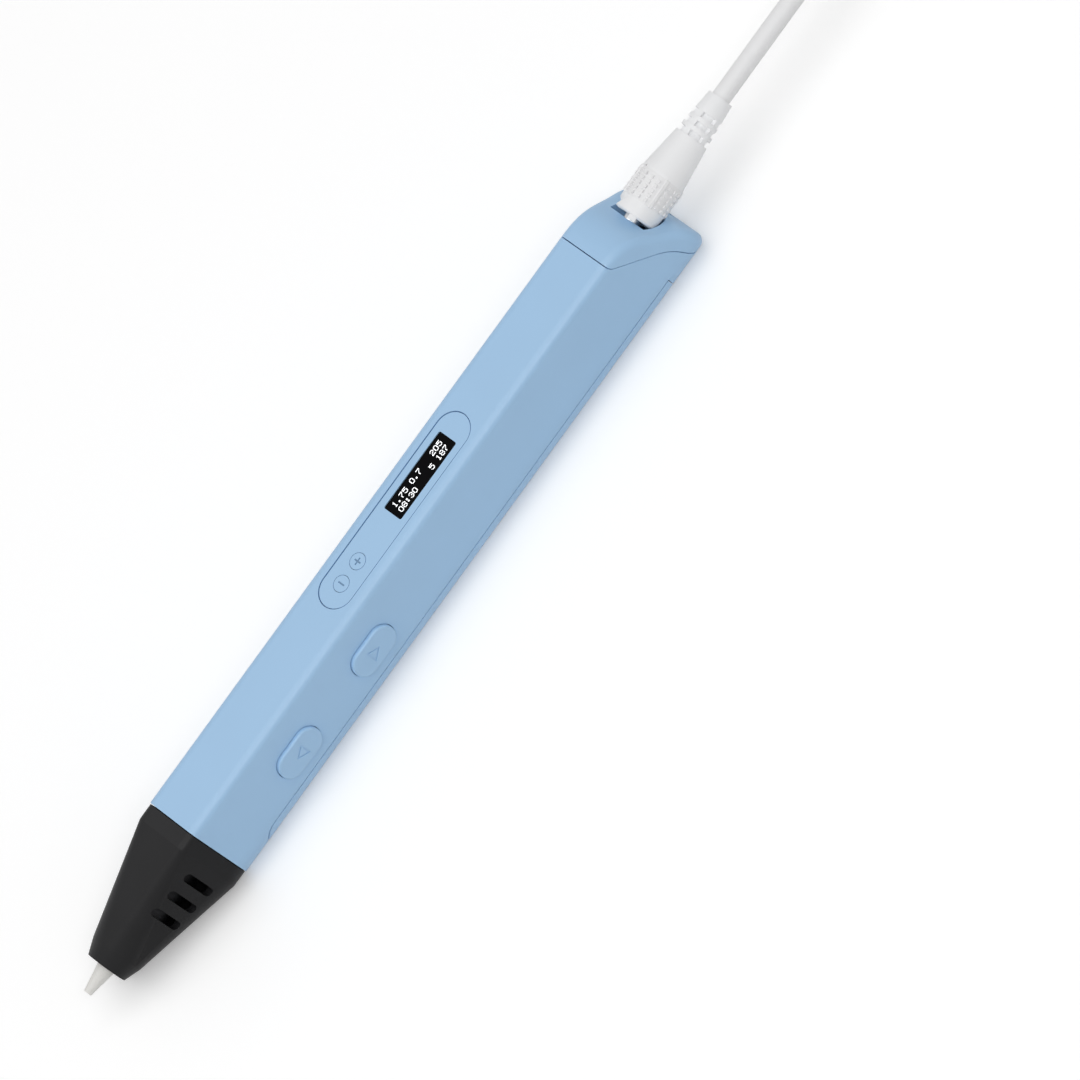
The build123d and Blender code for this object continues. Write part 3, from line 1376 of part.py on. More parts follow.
save(make_plug_body(), "plug_body")
barrel_x = PLUG_RIM_X - BARREL_LENGTH
barrel_length = BARREL_LENGTH + BARREL_ROOT - SLIP
barrel_bore = BARREL_RADIUS - 0.3
save(tube(barrel_x, barrel_length, BARREL_RADIUS, barrel_bore, 0, PLUG_HEIGHT), "plug_barrel")
insulator_bore = PIN_RADIUS + 0.08
insulator = tube(barrel_x, barrel_length, barrel_bore - 0.01, insulator_bore, 0, PLUG_HEIGHT)
save(insulator, "plug_insulator")
HANK = make_cord_hank()
save(HANK, "cord_hank")
with BuildPart() as power_cord:
    add(make_cord(ROUTE))
    add(HANK, mode=Mode.SUBTRACT)
save(power_cord.part, "power_cord")
with BuildPart() as cord_tail:
    add(make_cord(TAIL_ROUTE))
    add(HANK, mode=Mode.SUBTRACT)
save(cord_tail.part, "cord_tail")
save(make_cord_tie(), "cord_tie")
save(make_usb_body(), "usb_plug_body")
save(make_usb_shell(), "usb_shell")
save(make_usb_tongue(), "usb_tongue")
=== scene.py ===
"""Looks of a hand-held 3D printing pen with its power cord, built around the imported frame."""

import json
from math import cos, pi, radians, sin

import bmesh
import bpy
from mathutils import Matrix, Vector


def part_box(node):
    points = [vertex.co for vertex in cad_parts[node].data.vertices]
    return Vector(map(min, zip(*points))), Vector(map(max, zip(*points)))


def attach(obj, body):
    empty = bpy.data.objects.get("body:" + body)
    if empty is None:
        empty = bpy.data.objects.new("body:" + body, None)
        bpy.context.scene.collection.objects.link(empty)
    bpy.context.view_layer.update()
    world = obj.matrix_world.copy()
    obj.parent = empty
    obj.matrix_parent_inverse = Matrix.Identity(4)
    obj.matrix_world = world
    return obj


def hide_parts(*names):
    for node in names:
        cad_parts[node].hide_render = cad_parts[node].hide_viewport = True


bl_info = {
    "name": "Printing Pen Looks",
    "version": (1, 0, 0),
    "blender": (4, 5, 0),
    "location": "3D View > Sidebar > Pen",
    "description": "Builds the visual pieces, materials and stage of a 3D printing pen",
    "category": "Object",
}

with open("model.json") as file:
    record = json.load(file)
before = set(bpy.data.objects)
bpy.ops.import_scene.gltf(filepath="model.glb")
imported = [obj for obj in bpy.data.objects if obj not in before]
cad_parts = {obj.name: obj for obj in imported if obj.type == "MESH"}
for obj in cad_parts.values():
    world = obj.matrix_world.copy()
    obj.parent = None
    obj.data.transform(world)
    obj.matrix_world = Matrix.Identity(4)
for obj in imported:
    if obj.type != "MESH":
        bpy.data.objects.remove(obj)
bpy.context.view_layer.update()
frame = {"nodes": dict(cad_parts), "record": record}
SLOT_OF = {row["node"]: row["material_slot"] for row in frame["record"]["subparts"]}

MM = 0.001

# Nodes duller than their slot, darker as painted shade: the heat shield behind the vents, and the
# plug's barrel in the gap at the plug
SHADE_DARKENED = {"heat_shield": "heat_dark", "plug_barrel": "steel"}

# Route of the power cord in metres: out of the plug, over the table and into the hank
CORD_EXIT = (0.1124, 0.0, 0.0127)
CORD_STRAIGHT = (0.134, 0.0, 0.0127)
CORD_ROUTE = (
    (0.147, 0.0, 0.0127),
    (0.181, 0.006, 0.0056),
    (0.205, 0.0122, 0.003),
    (0.219, 0.0133, 0.0034),
)
TAIL_ROUTE = (
    (0.2115, -0.0129, 0.0032),
    (0.203, -0.0092, 0.00395),
    (0.1935, -0.0092, 0.00395),
)
# Lanes of the hank's turns, as (across, height) seen along the run, in winding order
OUTER_LANE, INNER_LANE = 0.0152, 0.0114
LOW_LAYER, MID_LAYER, HIGH_LAYER = 0.0026, 0.0064, 0.0102
NEAR_LANES = (
    (OUTER_LANE, LOW_LAYER),
    (OUTER_LANE, MID_LAYER),
    (OUTER_LANE, HIGH_LAYER),
    (INNER_LANE, HIGH_LAYER),
    (INNER_LANE, MID_LAYER),
    (INNER_LANE, LOW_LAYER),
)
HANK_FRONT_TURN, HANK_REAR_TURN, HANK_MIDDLE = 0.2151, 0.2489, 0.232
WAIST_PULL = 0.0056
LEG_INSET = 0.001

# Camera: what it looks at, the way from there to it, its upright before its roll, and the width
# that it sees at the pen
CAMERA_TARGET = Vector((0.0269, -0.0150, -0.0023))
CAMERA_SIDE = Vector((0.0, -0.581, 0.814)).normalized()
LEVEL_UP = Vector((0.0, 0.814, 0.581)).normalized()
CAMERA_ROLL = radians(54)
VIEW_WIDTH = 0.1996
SENSOR_WIDTH = 36.0

# Lights: sides of the square lamps, the key's place, how far the fill stands from what the camera
# looks at, and the point that both aim at
KEY_SIZE, KEY_PLACE = 1.4, Vector((-0.05, 0.05, 1.3))
FILL_SIZE, FILL_REACH = 0.3, 1.05
LAMP_AIM = Vector((0.03, 0.0, 0.01))

# Floor: half its side, its level just under the pen, and the lift that keeps it white to the eye
FLOOR_HALF_SIDE, FLOOR_LEVEL = 6.0, -0.00002
FLOOR_WHITE, FLOOR_LIFT = 0.93, 0.22

# Characters of the display, five dots wide and seven tall
DIGITS = {
    "0": ("01110", "10001", "10001", "10001", "10001", "10001", "01110"),
    "1": ("00100", "01100", "00100", "00100", "00100", "00100", "01110"),
    "2": ("01110", "10001", "00001", "00110", "01000", "10000", "11111"),
    "3": ("01110", "10001", "00001", "00110", "00001", "10001", "01110"),
    "4": ("00010", "00110", "01010", "10010", "11111", "00010", "00010"),
    "5": ("11111", "10000", "11110", "00001", "00001", "10001", "01110"),
    "6": ("00110", "01000", "10000", "11110", "10001", "10001", "01110"),
    "7": ("11111", "00001", "00010", "00100", "01000", "01000", "01000"),
    "8": ("01110", "10001", "10001", "01110", "10001", "10001", "01110"),
    "9": ("01110", "10001", "10001", "01111", "00001", "00010", "01100"),
    ".": ("00000", "00000", "00000", "00000", "00000", "01100", "01100"),
    ":": ("00000", "01100", "01100", "00000", "01100", "01100", "00000"),
    " ": ("00000",) * 7,
}
# In dots: from one character to the next, the height of one, and from row to row
GLYPH_PITCH, GLYPH_HEIGHT, ROW_PITCH = 6, 7, 10

# Where the middle of a noise lies, spread out over a finish's range
MASK_LOW, MASK_HIGH = 0.3, 0.7


# ---------------------------------------------------------------- settings
class PenFinishSettings(bpy.types.PropertyGroup):
    """Colours of the pen's moulded and painted parts"""

    shell_colour: bpy.props.FloatVectorProperty(
        name="Shell Colour",
        description="Satin blue of the casing and its buttons",
        subtype="COLOR",
        default=(0.37, 0.585, 0.83),
        min=0.0,
        max=1.0,
    )
    nose_colour: bpy.props.FloatVectorProperty(
        name="Nose Colour",
        description="Black of the vented nose cone",
        subtype="COLOR",
        default=(0.011, 0.011, 0.012),
        min=0.0,
        max=1.0,
    )
    cable_colour: bpy.props.FloatVectorProperty(
        name="Cable Colour",
        description="Soft white of the plug and the cord",
        subtype="COLOR",
        default=(0.90, 0.905, 0.915),
        min=0.0,
        max=1.0,
    )


class PenCordSettings(bpy.types.PropertyGroup):
    """Sizes of the power cord"""

    diameter: bpy.props.FloatProperty(
        name="Diameter",
        description="Outside diameter of the cord",
        subtype="DISTANCE",
        unit="LENGTH",
        default=0.0038,
        min=0.001,
        max=0.01,
    )
    length: bpy.props.FloatProperty(
        name="Length",
        description="Whole length of the cord from plug to plug",
        subtype="DISTANCE",
        unit="LENGTH",
        default=1.0,
        min=0.3,
        max=5.0,
    )


class PenGripSettings(bpy.types.PropertyGroup):
    """Knobs on the grip pads of the power plug"""

    columns: bpy.props.IntProperty(
        name="Columns", description="Knobs along the plug in one pad", default=5, min=1, max=12
    )
    rows: bpy.props.IntProperty(
        name="Rows", description="Knobs round the plug in one pad", default=4, min=1, max=8
    )
    pitch: bpy.props.FloatProperty(
        name="Pitch",
        description="Distance between knobs along the plug",
        subtype="DISTANCE",
        unit="LENGTH",
        default=0.00108,
        min=0.0005,
        max=0.003,
    )
    row_angle: bpy.props.FloatProperty(
        name="Row Angle",
        description="Turn between neighbouring rows",
        subtype="ANGLE",
        default=radians(19),
        min=radians(5),
        max=radians(45),
    )


class PenDisplaySettings(bpy.types.PropertyGroup):
    """What the display shows"""

    top_row: bpy.props.StringProperty(
        name="Top Row",
        description="Digits, points, colons and spaces in the upper row",
        default="1.75 0.7   205",
    )
    bottom_row: bpy.props.StringProperty(
        name="Bottom Row",
        description="Digits, points, colons and spaces in the lower row",
        default="08:30    5 187",
    )
    dot_pitch: bpy.props.FloatProperty(
        name="Dot Pitch",
        description="Distance between the display's dots",
        subtype="DISTANCE",
        unit="LENGTH",
        default=0.000178,
        min=0.0001,
        max=0.0004,
    )
    glow: bpy.props.FloatProperty(
        name="Glow", description="Strength of a lit dot", default=0.95, min=0.0, max=5.0
    )


class PenStageSettings(bpy.types.PropertyGroup):
    """Lights and camera of the stage"""

    key_power: bpy.props.FloatProperty(
        name="Key Power",
        description="Power of the large soft light overhead",
        unit="POWER",
        default=8.3,
        min=0.0,
        max=200.0,
    )
    fill_power: bpy.props.FloatProperty(
        name="Fill Power",
        description="Power of the small light in line with the camera",
        unit="POWER",
        default=1.5,
        min=0.0,
        max=50.0,
    )
    sky_level: bpy.props.FloatProperty(
        name="Sky Level", description="Even light from all round", default=0.38, min=0.0, max=2.0
    )
    focal_length: bpy.props.FloatProperty(
        name="Focal Length",
        description="Lens length in millimetres, long so that lines stay parallel",
        default=400.0,
        min=50.0,
        max=1000.0,
    )


# ---------------------------------------------------------------- shared node groups
def new_socket(tree, name, kind, way="INPUT", default=None):
    """Add a socket to a node group and return it."""
    socket = tree.interface.new_socket(name=name, in_out=way, socket_type=kind)
    if default is not None:
        socket.default_value = default
    return socket


def moulded_grain_group():
    """Fine grain and broad clouding of a moulded or painted surface, from Object coordinates."""
    name = "moulded_grain"
    if name in bpy.data.node_groups:
        return bpy.data.node_groups[name]
    tree = bpy.data.node_groups.new(name, "ShaderNodeTree")
    new_socket(tree, "Vector", "NodeSocketVector")
    new_socket(tree, "Grain Scale", "NodeSocketFloat", default=4000.0)
    new_socket(tree, "Cloud Scale", "NodeSocketFloat", default=60.0)
    new_socket(tree, "Grain", "NodeSocketFloat", "OUTPUT")
    new_socket(tree, "Cloud", "NodeSocketFloat", "OUTPUT")
    nodes, links = tree.nodes, tree.links
    inputs, outputs = nodes.new("NodeGroupInput"), nodes.new("NodeGroupOutput")
    for socket, output, detail in (("Grain Scale", "Grain", 3.0), ("Cloud Scale", "Cloud", 2.0)):
        noise = nodes.new("ShaderNodeTexNoise")
        noise.inputs["Detail"].default_value = detail
        noise.inputs["Roughness"].default_value = 0.55
        links.new(inputs.outputs["Vector"], noise.inputs["Vector"])
        links.new(inputs.outputs[socket], noise.inputs["Scale"])
        links.new(noise.outputs["Fac"], outputs.inputs[output])
    return tree


def brushed_lines_group():
    """Fine lines along the pen's length, as left by turning or drawing a metal."""
    name = "brushed_lines"
    if name in bpy.data.node_groups:
        return bpy.data.node_groups[name]
    tree = bpy.data.node_groups.new(name, "ShaderNodeTree")
    new_socket(tree, "Vector", "NodeSocketVector")
    new_socket(tree, "Stretch", "NodeSocketVector", default=(9000.0, 700.0, 700.0))
    new_socket(tree, "Lines", "NodeSocketFloat", "OUTPUT")
    nodes, links = tree.nodes, tree.links
    inputs, outputs = nodes.new("NodeGroupInput"), nodes.new("NodeGroupOutput")
    scaled = nodes.new("ShaderNodeVectorMath")
    scaled.operation = "MULTIPLY"
    noise = nodes.new("ShaderNodeTexNoise")
    noise.inputs["Scale"].default_value = 1.0
    noise.inputs["Detail"].default_value = 4.0
    links.new(inputs.outputs["Vector"], scaled.inputs[0])
    links.new(inputs.outputs["Stretch"], scaled.inputs[1])
    links.new(scaled.outputs[0], noise.inputs["Vector"])
    links.new(noise.outputs["Fac"], outputs.inputs["Lines"])
    return tree


# ---------------------------------------------------------------- materials
def material(name, colour, roughness, metallic=0.0, specular=0.5):
    """Material with a Principled BSDF, returned with its nodes and links."""
    made = bpy.data.materials.new(name)
    made.use_nodes = True
    shader = made.node_tree.nodes["Principled BSDF"]
    shader.inputs["Base Color"].default_value = (*colour, 1.0)
    shader.inputs["Roughness"].default_value = roughness
    shader.inputs["Metallic"].default_value = metallic
    shader.inputs["Specular IOR Level"].default_value = specular
    return made, made.node_tree.nodes, made.node_tree.links, shader


def spread(nodes, links, value, low, high):
    """Output of a Map Range that takes the middle of a mask to low..high."""
    ranged = nodes.new("ShaderNodeMapRange")
    ranged.inputs["From Min"].default_value = MASK_LOW
    ranged.inputs["From Max"].default_value = MASK_HIGH
    ranged.inputs["To Min"].default_value = low
    ranged.inputs["To Max"].default_value = high
    links.new(value, ranged.inputs["Value"])
    return ranged.outputs["Result"]


def mixed(nodes, links, factor, first, second):
    """Colour that goes from the first to the second as the factor rises from 0 to 1."""
    mix = nodes.new("ShaderNodeMix")
    mix.data_type = "RGBA"
    mix.inputs["A"].default_value = (*first, 1.0)
    mix.inputs["B"].default_value = (*second, 1.0)
    links.new(factor, mix.inputs["Factor"])
    return mix.outputs["Result"]


def placed_effect(nodes, links, tree):
    """Shared effect's node group, reading the piece's Object coordinates."""
    place = nodes.new("ShaderNodeTexCoord")
    group = nodes.new("ShaderNodeGroup")
    group.node_tree = tree
    links.new(place.outputs["Object"], group.inputs["Vector"])
    return group


def bump(nodes, links, shader, height, depth):
    """Feed a height, worth depth metres, to the shader's normal."""
    node = nodes.new("ShaderNodeBump")
    node.inputs["Distance"].default_value = depth
    links.new(height, node.inputs["Height"])
    links.new(node.outputs["Normal"], shader.inputs["Normal"])


def grained(name, colour, roughness, grain=4000.0, depth=0.000012, tone=0.06, specular=0.5):
    """Moulded or painted finish: fine grain in the relief, broad clouding in tone and gloss."""
    gloss_range = 0.05
    made, nodes, links, shader = material(name, colour, roughness, specular=specular)
    group = placed_effect(nodes, links, moulded_grain_group())
    group.inputs["Grain Scale"].default_value = grain
    grains, cloud = group.outputs["Grain"], spread(nodes, links, group.outputs["Cloud"], 0.0, 1.0)
    darker = [c * (1 - tone) for c in colour]
    lighter = [min(1.0, c * (1 + tone)) for c in colour]
    links.new(mixed(nodes, links, cloud, darker, lighter), shader.inputs["Base Color"])
    gloss = spread(nodes, links, grains, roughness - gloss_range, roughness + gloss_range)
    links.new(gloss, shader.inputs["Roughness"])
    bump(nodes, links, shader, grains, depth)
    return made


def brushed(name, colour, roughness):
    """Metal with fine drawn lines in its gloss and relief."""
    line_depth = 0.000004
    made, nodes, links, shader = material(name, colour, roughness, 1.0)
    lines = placed_effect(nodes, links, brushed_lines_group()).outputs["Lines"]
    gloss = spread(nodes, links, lines, max(0.02, roughness - 0.08), roughness + 0.12)
    links.new(gloss, shader.inputs["Roughness"])
    bump(nodes, links, shader, lines, line_depth)
    return made


def glossy_window(name):
    """Dark gloss cover of the display with a faint bloom of handling on it."""
    made, nodes, links, shader = material(name, (0.002, 0.002, 0.0025), 0.06, specular=0.04)
    group = placed_effect(nodes, links, moulded_grain_group())
    group.inputs["Cloud Scale"].default_value = 240.0
    gloss = spread(nodes, links, group.outputs["Cloud"], 0.05, 0.13)
    links.new(gloss, shader.inputs["Roughness"])
    return made


def hook_and_loop(name):
    """Dark woven strap with a fuzzy face, darker in the hollows between its tufts as painted
    shade.
    """
    # Colours of the hollows between tufts, which are darker as painted shade, and of the tufts,
    # and the tufts' height
    between, tuft, tuft_height = (0.03, 0.031, 0.034), (0.10, 0.102, 0.11), 0.00012
    made, nodes, links, shader = material(name, (0.055, 0.057, 0.062), 0.9)
    cells = nodes.new("ShaderNodeTexVoronoi")
    cells.inputs["Scale"].default_value = 2600.0
    place = nodes.new("ShaderNodeTexCoord")
    links.new(place.outputs["Object"], cells.inputs["Vector"])
    tufts = cells.outputs["Distance"]
    links.new(mixed(nodes, links, tufts, between, tuft), shader.inputs["Base Color"])
    bump(nodes, links, shader, tufts, tuft_height)
    return made


def lit_dot(name, glow):
    """White light of one dot of the display."""
    made, _, _, shader = material(name, (0.8, 0.8, 0.8), 0.6)
    shader.inputs["Emission Color"].default_value = (0.93, 0.97, 1.0, 1.0)
    shader.inputs["Emission Strength"].default_value = glow
    return made


def all_finishes(scene):
    """Every material by the record's slot that it finishes."""
    finish = scene.pen_finish
    shell, nose, cable = (
        tuple(colour) for colour in (finish.shell_colour, finish.nose_colour, finish.cable_colour)
    )
    # Colour, roughness, grain scale, grain depth, tone and, where it isn't 0.5, specular
    moulded = {
        "body_blue": (shell, 0.36, 5200.0, 0.000006, 0.012),
        "nose_black": (nose, 0.42, 3800.0, 0.000014, 0.15, 0.2),
        "black_plastic": ((0.015, 0.015, 0.017), 0.55, 2600.0, 0.00002, 0.2),
        "board_green": ((0.015, 0.12, 0.045), 0.35, 1800.0, 0.00001, 0.25),
        "ceramic_white": ((0.80, 0.79, 0.76), 0.30, 3000.0, 0.000008, 0.03),
        "ptfe_white": ((0.78, 0.79, 0.80), 0.45, 2400.0, 0.00001, 0.03),
        "frame_grey": ((0.10, 0.105, 0.115), 0.55, 2200.0, 0.00002, 0.12),
        "lead_red": ((0.50, 0.02, 0.015), 0.4, 2000.0, 0.00001, 0.08),
        "gear_white": ((0.74, 0.73, 0.68), 0.45, 2600.0, 0.00001, 0.04),
        "cable_white": (cable, 0.46, 2600.0, 0.00001, 0.02),
        # Darker shell blue, also laid in the buttons' engraved signs as painted shade
        "mark_blue": ((0.17, 0.29, 0.44), 0.6, 5200.0, 0.000006, 0.012),
    }
    # Colour and roughness
    drawn = {
        # Steel is also put on the plug's barrel in the gap, darker than its slot, as painted
        # shade
        "steel": ((0.56, 0.57, 0.58), 0.3),
        "aluminium": ((0.78, 0.79, 0.80), 0.36),
        "brass": ((0.72, 0.53, 0.24), 0.28),
        "chrome": ((0.82, 0.82, 0.83), 0.14),
        # Near-black metal, also put on the heat shield behind the vents as painted shade
        "heat_dark": ((0.03, 0.03, 0.032), 0.5),
    }
    return {
        **{name: grained(name, *values) for name, values in moulded.items()},
        **{name: brushed(name, *values) for name, values in drawn.items()},
        "window_black": glossy_window("window_black"),
        "tie_grey": hook_and_loop("tie_grey"),
    }


def finish_of(slot):
    """Material already made for a slot."""
    return bpy.data.materials[slot]


# ---------------------------------------------------------------- mesh helpers
def mesh_piece(name, mesh, slot, body):
    """Object for a finished mesh, with the slot's material where the mesh has none, and the body
    that it rides on.
    """
    piece = bpy.data.objects.new(name, mesh)
    bpy.context.scene.collection.objects.link(piece)
    if not mesh.materials:
        mesh.materials.append(finish_of(slot))
    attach(piece, body)
    return piece


def baked(piece):
    """Turn a piece's modifiers into its mesh and remove them."""
    evaluated = piece.evaluated_get(bpy.context.evaluated_depsgraph_get())
    mesh = bpy.data.meshes.new_from_object(evaluated)
    piece.modifiers.clear()
    old, piece.data = piece.data, mesh
    bpy.data.meshes.remove(old)
    mesh.name = piece.name
    return piece


def closed_outward(mesh):
    """Merge doubles and make every face point outwards."""
    work = bmesh.new()
    work.from_mesh(mesh)
    bmesh.ops.remove_doubles(work, verts=work.verts, dist=0.000001)
    bmesh.ops.recalc_face_normals(work, faces=work.faces)
    work.to_mesh(mesh)
    work.free()


def walls(work, rings, closed):
    """Faces between rings of as many points each, and both ends where the run is open."""
    pairs = list(zip(rings, rings[1:])) + ([(rings[-1], rings[0])] if closed else [])
    for here, there in pairs:
        for j in range(len(here)):
            k = (j + 1) % len(here)
            work.faces.new((here[j], here[k], there[k], there[j]))
    if not closed:
        work.faces.new(rings[0])
        work.faces.new(rings[-1])


def mesh_of(name, work):
    """Closed mesh of a shape that is built face by face."""
    mesh = bpy.data.meshes.new(name)
    work.to_mesh(mesh)
    work.free()
    closed_outward(mesh)
    return mesh


def plug_round():
    """Front end, axis height and radius of the power plug's moulding."""
    low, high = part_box("plug_body")
    return low.x, (low.z + high.z) / 2, (high.z - low.z) / 2


def ring_round_plug(work, angle, axis_height, corners):
    """Section of (x, radius) corners, turned by an angle from the top about the plug's axis."""
    return [
        work.verts.new((x, -radius * sin(angle), axis_height + radius * cos(angle)))
        for x, radius in corners
    ]


def smooth_by_angle(mesh, angle):
    """Shade a mesh smooth except across edges sharper than the angle."""
    for face in mesh.polygons:
        face.use_smooth = True
    mesh.set_sharp_from_angle(angle=angle)


# ---------------------------------------------------------------- geometry node trees
def end_tree(nodes, links, instances, finish):
    """Make the instances real, give them their material and lead them out of the tree."""
    realized = nodes.new("GeometryNodeRealizeInstances")
    dressed = nodes.new("GeometryNodeSetMaterial")
    dressed.inputs["Material"].default_value = finish
    links.new(instances, realized.inputs["Geometry"])
    links.new(realized.outputs["Geometry"], dressed.inputs["Geometry"])
    links.new(dressed.outputs["Geometry"], nodes.new("NodeGroupOutput").inputs["Geometry"])


def knobs_tree(finish):
    """Pads of small square knobs round an axis along X."""
    tree = bpy.data.node_groups.new("grip_knobs", "GeometryNodeTree")
    sockets = {
        name: new_socket(tree, name, kind, default=default)
        for name, kind, default in (
            ("Start", "NodeSocketFloat", 0.0),
            ("Radius", "NodeSocketFloat", 0.004),
            ("Axis Height", "NodeSocketFloat", 0.0127),
            ("Columns", "NodeSocketInt", 5),
            ("Pitch", "NodeSocketFloat", 0.001),
            ("Rows", "NodeSocketInt", 4),
            ("Pads", "NodeSocketInt", 4),
            ("First Angle", "NodeSocketFloat", 0.0),
            ("Row Angle", "NodeSocketFloat", 0.33),
            ("Knob Width", "NodeSocketFloat", 0.0007),
            ("Knob Height", "NodeSocketFloat", 0.0004),
        )
    }
    new_socket(tree, "Geometry", "NodeSocketGeometry", "OUTPUT")
    nodes, links = tree.nodes, tree.links
    given = nodes.new("NodeGroupInput").outputs

    def maths(operation, *values):
        """Output of a Math node fed with sockets or plain numbers."""
        node = nodes.new("ShaderNodeMath")
        node.operation = operation
        for socket, value in zip(node.inputs, values):
            if isinstance(value, (int, float)):
                socket.default_value = value
            else:
                links.new(value, socket)
        return node.outputs[0]

    # A square block that narrows upwards: its corners' radii as shares of the knob's width
    top_share, foot_share = 0.6, 0.72
    knob = nodes.new("GeometryNodeMeshCone")
    knob.inputs["Vertices"].default_value = 4
    links.new(maths("MULTIPLY", given["Knob Width"], top_share), knob.inputs["Radius Top"])
    links.new(maths("MULTIPLY", given["Knob Width"], foot_share), knob.inputs["Radius Bottom"])
    links.new(given["Knob Height"], knob.inputs["Depth"])

    line = nodes.new("GeometryNodeMeshLine")
    start, step = nodes.new("ShaderNodeCombineXYZ"), nodes.new("ShaderNodeCombineXYZ")
    links.new(given["Start"], start.inputs["X"])
    links.new(given["Radius"], start.inputs["Z"])
    links.new(given["Pitch"], step.inputs["X"])
    links.new(given["Columns"], line.inputs["Count"])
    links.new(start.outputs[0], line.inputs["Start Location"])
    links.new(step.outputs[0], line.inputs["Offset"])
    row = nodes.new("GeometryNodeInstanceOnPoints")
    row.inputs["Rotation"].default_value = (0.0, 0.0, pi / 4)
    links.new(line.outputs["Mesh"], row.inputs["Points"])
    links.new(knob.outputs["Mesh"], row.inputs["Instance"])

    turns = nodes.new("GeometryNodeMeshLine")
    turns.inputs["Offset"].default_value = (0.0, 0.0, 0.0)
    links.new(maths("MULTIPLY", given["Rows"], given["Pads"]), turns.inputs["Count"])
    axis = nodes.new("ShaderNodeCombineXYZ")
    links.new(given["Axis Height"], axis.inputs["Z"])
    links.new(axis.outputs[0], turns.inputs["Start Location"])
    index = nodes.new("GeometryNodeInputIndex").outputs[0]
    pad = maths("FLOOR", maths("DIVIDE", index, given["Rows"]))
    in_pad = maths("MODULO", index, given["Rows"])
    angle = maths(
        "ADD",
        maths("MULTIPLY_ADD", pad, maths("DIVIDE", 2 * pi, given["Pads"]), given["First Angle"]),
        maths("MULTIPLY", in_pad, given["Row Angle"]),
    )
    turn = nodes.new("ShaderNodeCombineXYZ")
    links.new(angle, turn.inputs["X"])
    ring = nodes.new("GeometryNodeInstanceOnPoints")
    links.new(turns.outputs["Mesh"], ring.inputs["Points"])
    links.new(row.outputs["Instances"], ring.inputs["Instance"])
    links.new(turn.outputs[0], ring.inputs["Rotation"])
    end_tree(nodes, links, ring.outputs["Instances"], finish)
    return tree, sockets


def tiles_tree(name, finish):
    """A small flat tile on every point of the given mesh."""
    tree = bpy.data.node_groups.new(name, "GeometryNodeTree")
    new_socket(tree, "Geometry", "NodeSocketGeometry")
    size = new_socket(tree, "Tile Size", "NodeSocketVector", default=(0.001, 0.001, 0.001))
    new_socket(tree, "Geometry", "NodeSocketGeometry", "OUTPUT")
    nodes, links = tree.nodes, tree.links
    given = nodes.new("NodeGroupInput").outputs
    tile = nodes.new("GeometryNodeMeshCube")
    placed = nodes.new("GeometryNodeInstanceOnPoints")
    links.new(given["Tile Size"], tile.inputs["Size"])
    links.new(given["Geometry"], placed.inputs["Points"])
    links.new(tile.outputs["Mesh"], placed.inputs["Instance"])
    end_tree(nodes, links, placed.outputs["Instances"], finish)
    return tree, size


def points_object(name, points):
    """Object whose mesh is loose points."""
    mesh = bpy.data.meshes.new(name)
    mesh.from_pydata(points, [], [])
    made = bpy.data.objects.new(name, mesh)
    bpy.context.scene.collection.objects.link(made)
    return made


def tiled(name, points, size, body, finish):
    """Piece of small tiles, one on each point."""
    piece = points_object(name, points)
    tree, socket = tiles_tree(name, finish)
    modifier = piece.modifiers.new("tiles", "NODES")
    modifier.node_group = tree
    modifier[socket.identifier] = size
    baked(piece)
    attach(piece, body)
    return piece


